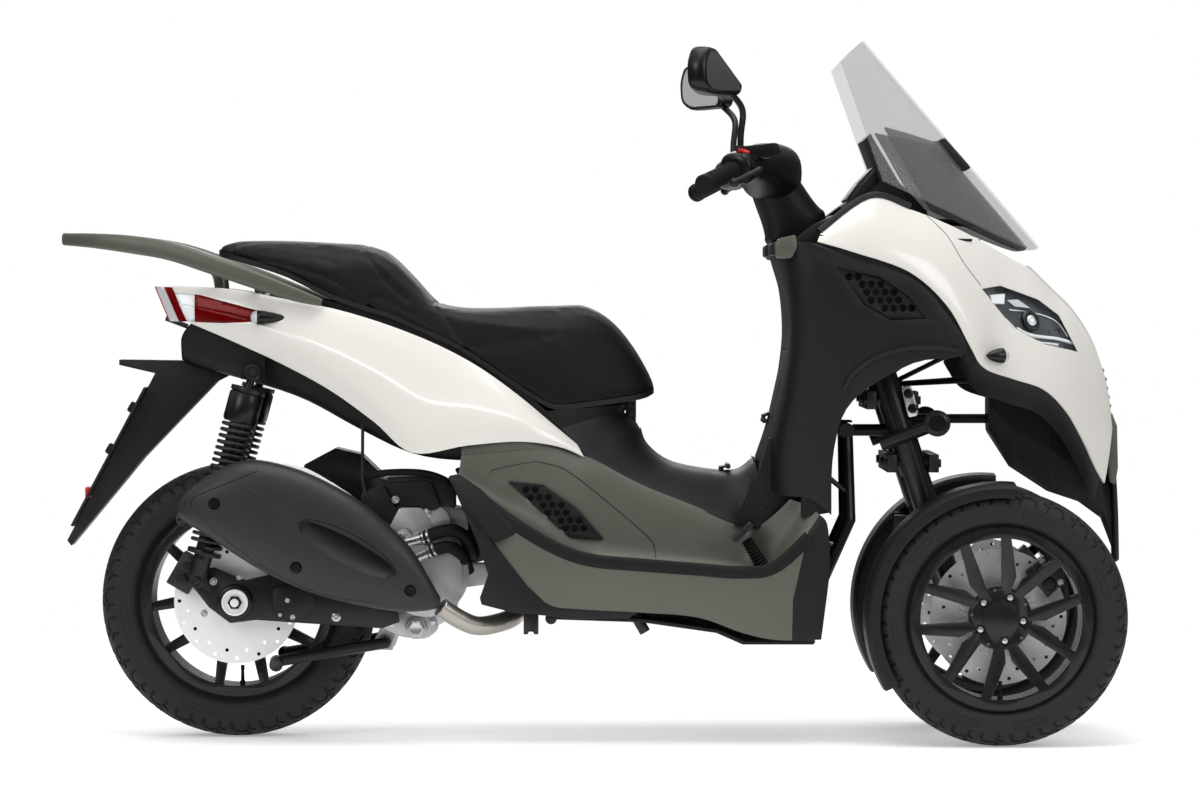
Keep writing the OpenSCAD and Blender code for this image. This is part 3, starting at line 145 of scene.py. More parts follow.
MIDDLE = (0, 0, 0.6)
soft_lamp("overhead_lamp", (0.1, -0.6, 3.6), MIDDLE, 2.6, 62)
soft_lamp("rear_side_lamp", (-2.6, -3.2, 2.2), MIDDLE, 1.6, 40)
soft_lamp("front_side_lamp", (2.9, -3.0, 2.0), MIDDLE, 1.6, 34)
soft_lamp("far_side_lamp", (0.0, 3.4, 2.4), MIDDLE, 2.0, 36)

# %% [markdown]
# A finish is a shader with some life in it: the colour drifts a little, the gloss is uneven, and a
# fine grain catches the light. One recipe serves most of the finishes here, with other numbers for
# each. Values that are the same all over are set on the shader itself, so that they also survive
# when the model is exported. Worn edges use the mesh's pointiness, which is high on outer edges.

# %% Finish recipe
def linear(red, green, blue):
    """A colour given as it looks on screen, 0 to 255, in the linear values that shaders use."""
    return tuple(((c / 255 + 0.055) / 1.055) ** 2.4 if c > 10 else c / 255 / 12.92
                 for c in (red, green, blue))


def add_node(tree, kind, **inputs):
    made = tree.nodes.new(kind)
    for socket, value in inputs.items():
        made.inputs[socket.replace("_", " ")].default_value = value
    return made


def finish(name, colour, rough, metal=0.0, spec=0.5, drift=0.08, drift_scale=6.0, uneven=0.06, grain=0.15,
           grain_scale=700.0, cells=False, wear=0.0, wear_colour=(0.4, 0.4, 0.4), coat=0.0, stretch=None):
    """A procedural material whose colour drifts, whose gloss is uneven and whose surface has a grain."""
    material = bpy.data.materials.new(name)
    material.use_nodes = True
    tree = material.node_tree
    shader = tree.nodes["Principled BSDF"]
    shader.inputs["Metallic"].default_value = metal
    shader.inputs["Specular IOR Level"].default_value = spec
    shader.inputs["Coat Weight"].default_value = coat
    shader.inputs["Coat Roughness"].default_value = 0.06
    where = tree.nodes.new("ShaderNodeTexCoord").outputs["Object"]
    if stretch:
        placed = tree.nodes.new("ShaderNodeMapping")
        placed.inputs["Scale"].default_value = stretch
        tree.links.new(where, placed.inputs["Vector"])
        where = placed.outputs["Vector"]
    # Colour that drifts between a darker and a lighter tone
    clouds = add_node(tree, "ShaderNodeTexNoise", Scale=drift_scale, Detail=5.0, Roughness=0.6)
    tree.links.new(where, clouds.inputs["Vector"])
    tone = tree.nodes.new("ShaderNodeMix")
    tone.data_type = "RGBA"
    tone.inputs["A"].default_value = (*[c * (1 - drift) for c in colour], 1)
    tone.inputs["B"].default_value = (*[min(1, c * (1 + drift)) for c in colour], 1)
    tree.links.new(clouds.outputs["Fac"], tone.inputs["Factor"])
    colour_out = tone.outputs["Result"]
    if wear:
        edges = tree.nodes.new("ShaderNodeNewGeometry").outputs["Pointiness"]
        rub = add_node(tree, "ShaderNodeMapRange", From_Min=0.53, From_Max=0.62, To_Min=0.0, To_Max=wear)
        tree.links.new(edges, rub.inputs["Value"])
        worn = tree.nodes.new("ShaderNodeMix")
        worn.data_type = "RGBA"
        worn.inputs["B"].default_value = (*wear_colour, 1)
        tree.links.new(rub.outputs["Result"], worn.inputs["Factor"])
        tree.links.new(colour_out, worn.inputs["A"])
        colour_out = worn.outputs["Result"]
    tree.links.new(colour_out, shader.inputs["Base Color"])
    # Uneven gloss
    smears = add_node(tree, "ShaderNodeTexNoise", Scale=drift_scale * 4, Detail=6.0, Roughness=0.65)
    tree.links.new(where, smears.inputs["Vector"])
    gloss = add_node(tree, "ShaderNodeMapRange", From_Min=0.3, From_Max=0.7, To_Min=max(0.02, rough - uneven),
                     To_Max=rough + uneven)
    tree.links.new(smears.outputs["Fac"], gloss.inputs["Value"])
    tree.links.new(gloss.outputs["Result"], shader.inputs["Roughness"])
    # Grain
    if cells:
        texture = add_node(tree, "ShaderNodeTexVoronoi", Scale=grain_scale)
        height = texture.outputs["Distance"]
    else:
        texture = add_node(tree, "ShaderNodeTexNoise", Scale=grain_scale, Detail=3.0)
        height = texture.outputs["Fac"]
    tree.links.new(where, texture.inputs["Vector"])
    bump = add_node(tree, "ShaderNodeBump", Strength=grain, Distance=0.001)
    tree.links.new(height, bump.inputs["Height"])
    tree.links.new(bump.outputs["Normal"], shader.inputs["Normal"])
    material.diffuse_color = (*colour, 1)
    return material


# %% [markdown]
# The finishes of this scooter. The paint is a pearl white under a clear coat, with a very fine
# ripple. The grey-green panels are satin. Plastic parts are black with a moulded grain. Running
# gear is painted satin black, and the engine is bare cast alloy.

# %% Finishes
WHITE = linear(224, 221, 215)
GREY_GREEN = linear(86, 88, 79)
BLACK = linear(15, 15, 16)

pearl_white = finish("pearl_white", WHITE, 0.3, spec=0.45, drift=0.015, drift_scale=3, uneven=0.02,
                     grain=0.02, grain_scale=260, coat=0.5)
satin_grey_green = finish("satin_grey_green", GREY_GREEN, 0.42, metal=0.15, spec=0.4, drift=0.05, grain=0.06,
                          grain_scale=900)
grained_black = finish("grained_black", BLACK, 0.5, spec=0.28, drift=0.1, grain=0.22, grain_scale=1100,
                       wear=0.12, wear_colour=linear(70, 70, 72))
smooth_black = finish("smooth_black", linear(11, 11, 12), 0.3, spec=0.32, drift=0.08, grain=0.05,
                      grain_scale=500)
satin_black_paint = finish("satin_black_paint", linear(16, 16, 17), 0.38, spec=0.32, drift=0.1, grain=0.1,
                           grain_scale=800, wear=0.25, wear_colour=linear(90, 90, 92))
wheel_black = finish("wheel_black", linear(13, 13, 14), 0.27, spec=0.38, drift=0.08, grain=0.05,
                     grain_scale=500, wear=0.2, wear_colour=linear(80, 80, 82))
muffler_black = finish("muffler_black", linear(35, 35, 36), 0.45, spec=0.35, drift=0.08, grain=0.12,
                       grain_scale=900)
cast_alloy = finish("cast_alloy", linear(172, 174, 176), 0.42, metal=0.85, drift=0.12, drift_scale=14,
                    uneven=0.12, grain=0.35, grain_scale=520, wear=0.3, wear_colour=linear(225, 226, 228))
dark_alloy = finish("dark_alloy", linear(88, 89, 91), 0.45, metal=0.6, drift=0.14, drift_scale=14, uneven=0.1,
                    grain=0.3, grain_scale=520, wear=0.3, wear_colour=linear(120, 121, 122))
brushed_steel = finish("brushed_steel", linear(240, 240, 239), 0.38, metal=0.12, drift=0.02, drift_scale=30,
                       uneven=0.03, grain=0.03, grain_scale=420, stretch=(1, 8, 1))
pipe_steel = finish("pipe_steel", linear(168, 163, 156), 0.32, metal=0.9, drift=0.22, drift_scale=9,
                    uneven=0.1, grain=0.12, grain_scale=300)
zinc = finish("zinc", linear(196, 197, 199), 0.28, metal=0.9, drift=0.08, drift_scale=40, grain=0.1,
              grain_scale=600)
hose_rubber = finish("hose_rubber", linear(13, 13, 13), 0.62, spec=0.25, drift=0.12, grain=0.2,
                     grain_scale=1500)
tyre_rubber = finish("tyre_rubber", linear(33, 33, 34), 0.66, spec=0.25, drift=0.12, drift_scale=10,
                     grain=0.3, grain_scale=1300)
grip_rubber = finish("grip_rubber", linear(12, 12, 12), 0.66, spec=0.22, drift=0.1, grain=0.3,
                     grain_scale=1400)
seat_leather = finish("seat_leather", linear(13, 13, 14), 0.5, spec=0.17, drift=0.12, drift_scale=5,
                      grain=0.32, grain_scale=620, cells=True)
print("finishes:", len(bpy.data.materials))

# %% [markdown]
# Lenses let light through: the red one is coloured all through, and the headlamp's is clear. The
# windscreen and its smoked mount are thin films, so they are see-through by alpha and bend no light.
# Fine ripples in the bump stand for the moulded surface. A mirror is bright and hardly rough.

# %% Clear finishes
def clear_finish(name, colour, rough, ior, through=1.0, ripple=0.02, ripple_scale=60.0, alpha=1.0):
    material = bpy.data.materials.new(name)
    material.use_nodes = True
    tree = material.node_tree
    shader = tree.nodes["Principled BSDF"]
    shader.inputs["Base Color"].default_value = (*colour, 1)
    shader.inputs["Transmission Weight"].default_value = through
    shader.inputs["IOR"].default_value = ior
    shader.inputs["Alpha"].default_value = alpha
    where = tree.nodes.new("ShaderNodeTexCoord").outputs["Object"]
    waves = add_node(tree, "ShaderNodeTexNoise", Scale=ripple_scale, Detail=2.0)
    tree.links.new(where, waves.inputs["Vector"])
    bump = add_node(tree, "ShaderNodeBump", Strength=ripple, Distance=0.001)
    tree.links.new(waves.outputs["Fac"], bump.inputs["Height"])
    tree.links.new(bump.outputs["Normal"], shader.inputs["Normal"])
    haze = add_node(tree, "ShaderNodeMapRange", From_Min=0.3, From_Max=0.7, To_Min=rough * 0.6,
                    To_Max=rough * 1.4)
    tree.links.new(waves.outputs["Fac"], haze.inputs["Value"])
    tree.links.new(haze.outputs["Result"], shader.inputs["Roughness"])
    material.diffuse_color = (*colour, 0.4)
    return material


red_lens = clear_finish("red_lens", linear(150, 8, 13), 0.06, 1.2, through=0.75, ripple=0.3, ripple_scale=240)
clear_lens = clear_finish("clear_lens", (0.93, 0.95, 0.96), 0.02, 1.12)
screen_clear = clear_finish("screen_clear", (0.3, 0.31, 0.315), 0.05, 1.3, through=0.0, alpha=0.2)
screen_smoke = clear_finish("screen_smoke", (0.035, 0.035, 0.037), 0.12, 1.3, through=0.0, alpha=0.66)
mirror_silver = finish("mirror_silver", linear(214, 216, 218), 0.06, metal=0.35, drift=0.02, uneven=0.02,
                       grain=0.01, grain_scale=90)
lamp_chrome = finish("lamp_chrome", linear(212, 214, 216), 0.12, metal=1.0, drift=0.05, uneven=0.04,
                     grain=0.04, grain_scale=120)
lamp_white = finish("lamp_white", linear(232, 233, 234), 0.25, spec=0.5, drift=0.03, grain=0.04,
                    grain_scale=200)
housing_grey = finish("housing_grey", linear(62, 63, 65), 0.3, metal=0.4, spec=0.5, drift=0.15,
                      drift_scale=20, grain=0.06, grain_scale=90)
indicator_clear = finish("indicator_clear", linear(196, 198, 200), 0.14, spec=0.6, drift=0.1, drift_scale=60,
                         grain=0.2, grain_scale=160)
panel_grey = finish("panel_grey", linear(70, 70, 70), 0.45, spec=0.35, drift=0.05, grain=0.08,
                    grain_scale=900)
red_plastic = finish("red_plastic", linear(205, 28, 30), 0.4, spec=0.4, drift=0.05, grain=0.06,
                     grain_scale=700)
tail_chrome = finish("tail_chrome", linear(214, 60, 58), 0.16, metal=0.9, drift=0.35, drift_scale=55,
                     grain=0.8, grain_scale=70, cells=True)
print("clear finishes made")

# %% [markdown]
# Solids drawn for manufacture have knife-sharp edges; real castings and mouldings are slightly
# round there, and that is where the light catches. A copy of the solid's mesh is welded, its flat
# faces are joined, and a bevel rounds each sharp edge. The copy stands for the solid.

# %% Rounded copies of solids
EDGE_ANGLE = 32.0


def paint(mesh, material):
    """Gives a mesh one finish all over."""
    mesh.materials.clear()
    mesh.materials.append(material)


def shade(mesh, sharp):
    """Smooth shading, apart from edges that are sharper than an angle."""
    mesh.shade_smooth()
    mesh.set_sharp_from_angle(angle=math.radians(sharp))


def show(name, mesh, material, body, sharp=35.0):
    """A piece from a mesh, shaded smooth apart from its sharp edges, that moves with a body."""
    made = bpy.data.objects.new(name, mesh)
    scene.collection.objects.link(made)
    paint(mesh, material)
    shade(mesh, sharp)
    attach(made, body)
    return made


def bake(made):
    """Puts a piece's modifiers into its mesh."""
    graph = bpy.context.evaluated_depsgraph_get()
    mesh = bpy.data.meshes.new_from_object(made.evaluated_get(graph))
    made.modifiers.clear()
    made.data = mesh


def round_edges(made, radius, angle):
    """Rounds the edges of a piece that are sharper than an angle, by a radius in millimetres."""
    bevel = made.modifiers.new("round_edges", "BEVEL")
    bevel.width = radius * 0.001
    bevel.segments = 2
    bevel.limit_method = "ANGLE"
    bevel.angle_limit = math.radians(angle)
    bake(made)


def subdivide(made, levels):
    """Makes a piece's mesh finer and rounder."""
    smooth = made.modifiers.new("smooth", "SUBSURF")
    smooth.levels = smooth.render_levels = levels
    bake(made)


def body_of(node):
    return nodes[node]["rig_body"]


def welded(node):
    """The mesh of a solid as one closed skin."""
    skin = bmesh.new()
    skin.from_mesh(nodes[node].data)
    bmesh.ops.remove_doubles(skin, verts=skin.verts, dist=2e-5)
    return skin


def rounded(node, material, radius):
    """A copy of a solid with rounded edges, radius in millimetres."""
    skin = welded(node)
    bmesh.ops.dissolve_limit(skin, angle_limit=math.radians(0.8), verts=skin.verts, edges=skin.edges)
    mesh = bpy.data.meshes.new("rounded_" + node)
    skin.to_mesh(mesh)
    skin.free()
    made = show(node + "_finished", mesh, material, body_of(node), EDGE_ANGLE)
    if radius:
        round_edges(made, radius, EDGE_ANGLE)
        shade(made.data, EDGE_ANGLE + 12)
    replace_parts(made, node)


ROUNDED = [
    ("engine", cast_alloy, "cast_alloy", 2.0), ("cylinder_head", satin_black_paint, "satin_black", 2.5),
    ("air_box", grained_black, "black_plastic", 4.0), ("rear_arm", satin_black_paint, "satin_black", 2.0),
    ("rear_shocks", satin_black_paint, "satin_black", 1.0),
    ("plate_holder", grained_black, "black_plastic", 2.0),
    ("belly_pan", grained_black, "black_plastic", 2.0), ("dashboard", grained_black, "black_plastic", 5.0),
    ("tilt_arms", satin_black_paint, "cast_alloy", 2.5),
    ("uprights", satin_black_paint, "satin_black", 1.5), ("glove_box", grained_black, "black_plastic", 1.0),
    ("fuel_tank", satin_black_paint, "satin_black", 3.0),
    ("knuckle_right", satin_black_paint, "satin_black", 2.0),
    ("knuckle_left", satin_black_paint, "satin_black", 2.0),
    ("mudguard_right", grained_black, "black_plastic", 1.2),
    ("mudguard_left", grained_black, "black_plastic", 1.2),
    ("front_rim_right", wheel_black, "satin_black", 2.0),
    ("front_rim_left", wheel_black, "satin_black", 2.0), ("rear_rim", wheel_black, "satin_black", 2.0),
    ("centre_stand", satin_black_paint, "satin_black", 1.0),
    ("levers", satin_black_paint, "satin_black", 0.8),
    ("vent_grilles", grained_black, "black_plastic", 0.4),
    ("front_disc_right", brushed_steel, "bright_steel", 0),
    ("front_disc_left", brushed_steel, "bright_steel", 0), ("rear_disc", brushed_steel, "bright_steel", 0)]
for node, material, slot, radius in ROUNDED:
    rounded(node, material, radius)
print("rounded copies:", len(ROUNDED))

# %% [markdown]
# The body panels are thin mouldings with smooth, swelling faces. Their solids are drawn from rows of
# points, one row for each station from back to front. The same stations are used here, but a smooth
# curve is run through them in both directions, so that the facets of the solids disappear. The
# sheet then gets its thickness, and openings for lamps and vents are cut out of it.

# %% Smooth sheets through stations
HALF_SHIELD = 285
PANEL = 4.0
RIM_ANGLE, PANEL_SHARP = 50, 40


def spline(points, steps):
    """A smooth curve through points, or through whole rows of points."""
    points = [np.asarray(p, float) for p in points]
    last = len(points) - 1
    made = []
    for i in range(last):
        a, b, c, d = points[max(i - 1, 0)], points[i], points[i + 1], points[min(i + 2, last)]
        for k in range(steps):
            t = k / steps
            made.append(0.5 * (2 * b + (c - a) * t + (2 * a - 5 * b + 4 * c - d) * t ** 2
                               + (3 * b - a - 3 * c + d) * t ** 3))
    return made + [points[last]]


def finer(rows, along, across):
    """A denser grid on the same surface."""
    rows = spline(rows, along)
    return [spline(list(row), across) for row in rows]


def in_metres(points):
    return [tuple(np.asarray(p) * 0.001) for p in points]


def sheet_mesh(name, rows):
    """A grid of points, in millimetres, as a mesh whose face looks outwards."""
    wide = len(rows[0])
    points = in_metres(p for row in rows for p in row)
    faces = [(i * wide + j, (i + 1) * wide + j, (i + 1) * wide + j + 1, i * wide + j + 1)
             for i in range(len(rows) - 1) for j in range(wide - 1)]
    mesh = bpy.data.meshes.new(name)
    mesh.from_pydata(points, [], faces)
    return mesh


def closed_mesh(name, points, faces):
    """A mesh from points in metres whose faces all look outwards."""
    mesh = bpy.data.meshes.new(name)
    mesh.from_pydata(points, [], faces)
    skin = bmesh.new()
    skin.from_mesh(mesh)
    bmesh.ops.recalc_face_normals(skin, faces=skin.faces)
    skin.to_mesh(mesh)
    skin.free()
    return mesh


def cutter(points, faces):
    """A solid that only serves to cut others, from points in metres."""
    made = bpy.data.objects.new("cutter", closed_mesh("cutter", points, faces))
    scene.collection.objects.link(made)
    return made


def prism(outline, low, high, turn=0.0, about=(0, 0)):
    """A cutter: a side-view outline in X and Z drawn out from y = low to y = high, in millimetres."""
    count = len(outline)
    points = [(x, y, z) for y in (low, high) for x, z in outline]
    faces = [tuple(range(count)), tuple(range(2 * count - 1, count - 1, -1))]
    faces += [(k, k + count, (k + 1) % count + count, (k + 1) % count) for k in range(count)]
    spin = Matrix.Translation((about[0], about[1], 0)) @ Matrix.Rotation(turn, 4, "Z")
    spin = spin @ Matrix.Translation((-about[0], 0, 0))
    return cutter([tuple((spin @ Vector(p)) * 0.001) for p in points], faces)


def carve(made, cutters, keep="DIFFERENCE"):
    """Cuts openings out of a piece, or keeps only what lies in the cutter."""
    for tool in cutters:
        opening = made.modifiers.new("opening", "BOOLEAN")
        opening.operation = keep
        opening.solver = "EXACT"
        opening.use_self = True
        opening.object = tool
        bake(made)
    for tool in cutters:
        bpy.data.objects.remove(tool)


def resharpen(made, material, sharp):
    """Smooth shading and one finish again after a cut."""
    shade(made.data, sharp)
    paint(made.data, material)


def add_left(made):
    """Adds the mirror image of a piece that was made for the right side."""
    shape = bmesh.new()
    shape.from_mesh(made.data)
    copy = bmesh.ops.duplicate(shape, geom=shape.verts[:] + shape.edges[:] + shape.faces[:])["geom"]
    bmesh.ops.scale(shape, vec=(1, -1, 1), verts=[g for g in copy if isinstance(g, bmesh.types.BMVert)])
    bmesh.ops.reverse_faces(shape, faces=[g for g in copy if isinstance(g, bmesh.types.BMFace)])
    shape.to_mesh(made.data)
    shape.free()


def panel(name, rows, material, stands_for, thick=PANEL, cutters=(), both=False, edge=1.0,
          keep="DIFFERENCE", stands=True):
    """A moulded panel of even thickness with rounded rims."""
    made = show(name, sheet_mesh(name, rows), material, body_of(stands_for))
    depth = made.modifiers.new("thickness", "SOLIDIFY")
    depth.thickness = thick * 0.001
    depth.offset = -1
    bake(made)
    carve(made, list(cutters), keep)
    if edge:
        round_edges(made, edge, RIM_ANGLE)
    if both:
        add_left(made)
    resharpen(made, material, PANEL_SHARP)
    if stands:
        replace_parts(made, stands_for)
    return made


# %% [markdown]
# The side panel sweeps from the tail lamp down to the footboard, with a soft crease along it. Its
# stations give the lower edge, the upper edge and the half width at both.

# %% Side panels and tail lamps
SIDE_STATIONS = [
    (-772, 799, -802, 868, 100, 92), (-690, 765, -690, 862, 124, 114), (-590, 720, -578, 842, 150, 134),
    (-496, 670, -480, 822, 172, 150), (-411, 610, -382, 792, 190, 160), (-338, 552, -290, 755, 205, 166),
    (-234, 566, -212, 713, 207, 168), (-136, 573, -138, 660, 196, 168), (-62, 563, -76, 608, 180, 162),
    (-14, 543, -26, 566, 162, 156)]
SIDE_LEVELS = [(0, 0), (0.2, 11), (0.46, 17), (0.52, 14), (0.78, 10), (0.93, 4), (1, 0)]
TAIL_LAMP = [(-830, 860), (-748, 851), (-604, 813), (-598, 801), (-700, 797), (-830, 801)]


def mix(a, b, t):
    return a + (b - a) * t


def side_row(s):
    swell = min(1, math.hypot(s[2] - s[0], s[3] - s[1]) / 100)
    return [(mix(s[0], s[2], t), -mix(s[4], s[5], t) - out * swell, mix(s[1], s[3], t))
            for t, out in SIDE_LEVELS]


def shrunk(outline, by):
    """An outline drawn in towards its middle."""
    cx = sum(p[0] for p in outline) / len(outline)
    cz = sum(p[1] for p in outline) / len(outline)
    made = []
    for x, z in outline:
        reach = math.hypot(x - cx, z - cz)
        made.append((cx + (x - cx) * (1 - by / reach), cz + (z - cz) * (1 - by / reach)))
    return made


side_rows = finer([side_row(s) for s in SIDE_STATIONS], 6, 4)
panel("painted_side_panels", side_rows, pearl_white, "side_panels",
      cutters=[prism(TAIL_LAMP, -300, -20)], both=True)
RED_LENS = [(-757, 851), (-748, 850), (-606, 812), (-600, 802), (-700, 798), (-757, 799.5)]
panel("tail_lamp_lenses", side_rows, red_lens, "tail_lamps", thick=5,
      cutters=[prism(RED_LENS, -300, -20)], both=True, edge=0.6, keep="INTERSECT")
print("side panel points:", len(side_rows) * len(side_rows[0]))

# %% [markdown]
# The floor panel is one moulding: an outer skirt, a rounded edge, the flat tread for the foot, and
# the wall that rises to the tunnel. A vent is cut in the wall behind the rider's heel.

# %% Floor panels
FLOOR_STATIONS = [
    [(-128, 238, 290), (-176, 236, 372), (-252, 213, 499), (-255, 206, 506), (-250, 199, 517),
     (-246, 197, 546)],
    [(-72, 240, 264), (-102, 246, 332), (-162, 239, 430), (-158, 229, 438), (-150, 201, 446),
     (-168, 199, 553)],
    [(-30, 240, 259), (-46, 249, 318), (-76, 250, 378), (-74, 241, 384), (-70, 183, 387), (-86, 182, 556)],
    [(16, 240, 256), (8, 250, 306), (-3, 254, 352), (-2, 245, 356), (0, 168, 355), (-4, 157, 529)],
    [(92, 240, 252), (92, 250, 300), (92, 254, 343), (92, 245, 346), (92, 166, 344), (92, 155, 479)],
    [(200, 240, 243), (200, 250, 290), (200, 252, 334), (200, 243, 337), (200, 164, 335), (196, 154, 437)],
    [(284, 240, 214), (284, 248, 276), (284, 250, 328), (285, 241, 332), (288, 164, 331), (288, 154, 402)],
    [(350, 238, 200), (352, 245, 276), (352, 246, 341), (350, 237, 347), (342, 190, 350), (334, 180, 424)],
    [(434, 230, 200), (452, 235, 340), (446, 237, 424), (424, 227, 442), (402, 206, 456), (376, 198, 464)]]
REAR_VENT = [(-160, 498), (-90, 490), (-26, 446), (26, 386), (-38, 390)]


def right_side(row):
    return [(x, -y, z) for x, y, z in row]


def eased(row, steps):
    """A row of points with straight runs and rounded corners."""
    made = []
    for a, b in zip(row, row[1:]):
        for k in range(steps):
            made.append(tuple(mix(np.array(a, float), np.array(b, float), k / steps)))
    made.append(row[-1])
    points = [np.array(p, float) for p in made]
    for _ in range(2):
        points = [points[0]] + [(points[i - 1] + 2 * points[i] + points[i + 1]) / 4
                                for i in range(1, len(points) - 1)] + [points[-1]]
    return points


floor_rows = spline([np.array(eased(right_side(r), 5)) for r in FLOOR_STATIONS], 5)
rear_vent_turn = math.radians(11)
panel("floor_mouldings", floor_rows, satin_grey_green, "floor_panels",
      cutters=[prism(REAR_VENT, -30, 30, rear_vent_turn, (-66, -184))], both=True)
print("floor rows:", len(floor_rows))

# %% [markdown]
# The tunnel between the rider's feet and the leg shield are black and grained. Each row runs from
# the right edge over the middle to the left edge.

# %% Tunnel cover and leg shield
TUNNEL_STATIONS = [
    (-58, 150, 598, 58, 630, 76), (-8, 149, 545, 90, 604, 70), (40, 149, 511, 106, 566, 70),
    (98, 149, 485, 148, 533, 66), (192, 149, 448, 215, 517, 64), (258, 149, 422, 276, 514, 64),
    (292, 149, 409, 308, 534, 66), (332, 175, 446, 311, 536, 66)]
SHIELD_STATIONS = [
    [(452, 237, 436), (412, 229, 466), (352, 196, 474), (325, 100, 505), (316, 0, 541)],
    [(457, 247, 560), (412, 245, 560), (352, 214, 560), (340, 108, 590), (340, 0, 612)],
    [(492, 260, 652), (440, 261, 655), (372, 240, 660), (360, 120, 682), (362, 0, 695)],
    [(604, 266, 722), (490, 275, 738), (386, 258, 750), (376, 130, 766), (382, 0, 775)],
    [(706, 251, 742), (520, 281, 798), (390, 268, 815), (374, 134, 828), (378, 0, 834)],
    [(660, 261, 826), (510, 285, 850), (387, 271, 868), (362, 132, 878), (362, 0, 882)],
    [(590, 273, 888), (480, 285, 900), (379, 268, 914), (350, 130, 922), (349, 0, 924)],
    [(424, 277, 946), (404, 277, 949), (374, 258, 951), (352, 130, 950), (345, 0, 950)]]
FRONT_VENT = [(457, 903), (540, 884), (594, 850), (630, 806), (561, 803), (510, 832)]


def whole(half):
    """A row from the right edge to the middle, carried on to the left edge."""
    return right_side(half) + [(x, y, z) for x, y, z in reversed(half[:-1])]


def tunnel_half(s):
    return [(s[0], s[1], s[2]), (mix(s[0], s[3], 0.5), mix(s[1], s[5], 0.38), mix(s[2], s[4], 0.5)),
            (mix(s[0], s[3], 0.85), s[5] + 12, mix(s[2], s[4], 0.86)), (s[3], s[5] * 0.62, s[4] - 2),
            (s[3], 0, s[4])]


def block(low, high):
    """A box-shaped cutter between two corners, in millimetres."""
    return prism([(low[0], low[2]), (high[0], low[2]), (high[0], high[2]), (low[0], high[2])], low[1],
                 high[1])


tunnel_rows = finer([whole(tunnel_half(s)) for s in TUNNEL_STATIONS], 5, 4)
panel("tunnel_moulding", tunnel_rows, grained_black, "tunnel_cover",
      cutters=[block((42, -50, 594), (122, 50, 654)), block((158, -50, 480), (258, 50, 540))])
panel("fuel_flap_skin", tunnel_rows, grained_black, "fuel_lid",
      cutters=[block((160, -48, 480), (256, 48, 540))], keep="INTERSECT")

front_vent_turn = math.radians(6.3)
shield_rows = finer([whole(s) for s in SHIELD_STATIONS], 5, 4)
panel("leg_shield_moulding", shield_rows, grained_black, "leg_shield",
      cutters=[block((300, -118, 614), (400, 118, 746)),
               prism(FRONT_VENT, -40, 40, front_vent_turn, (457, -HALF_SHIELD + 1)),
               prism(FRONT_VENT, -40, 40, -front_vent_turn, (457, HALF_SHIELD - 1))])
panel("glove_flap_skin", shield_rows, grained_black, "glove_lid",
      cutters=[block((300, -116, 616), (400, 116, 744))], keep="INTERSECT")
print("shield points:", len(shield_rows) * len(shield_rows[0]))

# %% [markdown]
# The front fairing is the large white shell with the headlamp in it. Below it the nose carries on as
# a narrow strip down the middle.

# %% Fairing, headlamps and nose
FAIRING_STATIONS = [
    ((424, 277, 951), (430, 268, 966), 0), ((494, 285, 930), (524, 236, 1032), 8),
    ((596, 275, 894), (602, 212, 1012), 14), ((668, 263, 831), (676, 186, 984), 18),
    ((714, 251, 752), (742, 154, 952), 22), ((742, 235, 712), (796, 120, 922), 24),
    ((800, 213, 691), (842, 88, 898), 24), ((858, 190, 671), (884, 66, 858), 22),
    ((904, 162, 628), (924, 56, 818), 18), ((940, 128, 570), (962, 50, 760), 13),
    ((964, 100, 522), (988, 46, 690), 8), ((984, 76, 490), (1003, 43, 604), 4)]
FAIRING_LEVELS = [(0, 0), (0.14, 0.5), (0.34, 0.9), (0.56, 1), (0.78, 0.72), (0.92, 0.3), (1, 0)]
HEADLAMP = [(737, 862), (775, 868), (851, 842), (893, 812), (929, 742), (860, 757), (798, 788)]
NOSE_STATIONS = [
    (843, 908, 84), (886, 866, 62), (928, 824, 52), (966, 764, 46), (991, 692, 42), (1006, 604, 39),
    (1013, 520, 37), (1018, 430, 34), (1020, 340, 30)]


def fairing_row(s):
    low, high, swell = s
    return [(mix(low[0], high[0], t) + swell * out * 0.3, -mix(low[1], high[1], t) - swell * out,
             mix(low[2], high[2], t)) for t, out in FAIRING_LEVELS]


def nose_row(s):
    return [(s[0] - 9 * v * v, s[2] * v, s[1] - 4 * v * v) for v in (-1, -0.6, 0, 0.6, 1)]


fairing_rows = finer([fairing_row(s) for s in FAIRING_STATIONS], 6, 4)
panel("painted_fairing", fairing_rows, pearl_white, "fairing_sides",
      cutters=[prism(HEADLAMP, -330, -20)], both=True)
panel("headlamp_lenses", fairing_rows, clear_lens, "headlamps", thick=3,
      cutters=[prism(shrunk(HEADLAMP, 1.2), -330, -20)], both=True, edge=0.5, keep="INTERSECT")
nose_rows = finer([nose_row(s) for s in NOSE_STATIONS], 6, 3)
COVER_END = 21
panel("painted_nose", nose_rows[:COVER_END + 1], pearl_white, "nose_cover")
panel("nose_strip_moulding", nose_rows[COVER_END:], grained_black, "nose_strip")
print("fairing points:", len(fairing_rows) * len(fairing_rows[0]))

# %% [markdown]
# The windscreen is a thin clear sheet. Inside it stands a smaller smoked sheet that carries it.

# %% Windscreen and its mount
SCREEN_STATIONS = [
    ((864, 0, 944), (524, 0, 1341)), ((842, 60, 940), (521, 62, 1339)), ((762, 118, 972), (512, 118, 1331)),
    ((664, 164, 1016), (496, 162, 1317)), ((552, 198, 1066), (474, 196, 1292))]


def screen_row(v, depth, reach):
    """A level line of the screen, from the left edge to the right one."""
    half = [(mix(low[0], high[0], v) - depth, mix(low[1], high[1], v), mix(low[2], high[2], v) - depth * 0.6)
            for low, high in SCREEN_STATIONS[reach::-1]]
    return list(reversed(whole(half)))


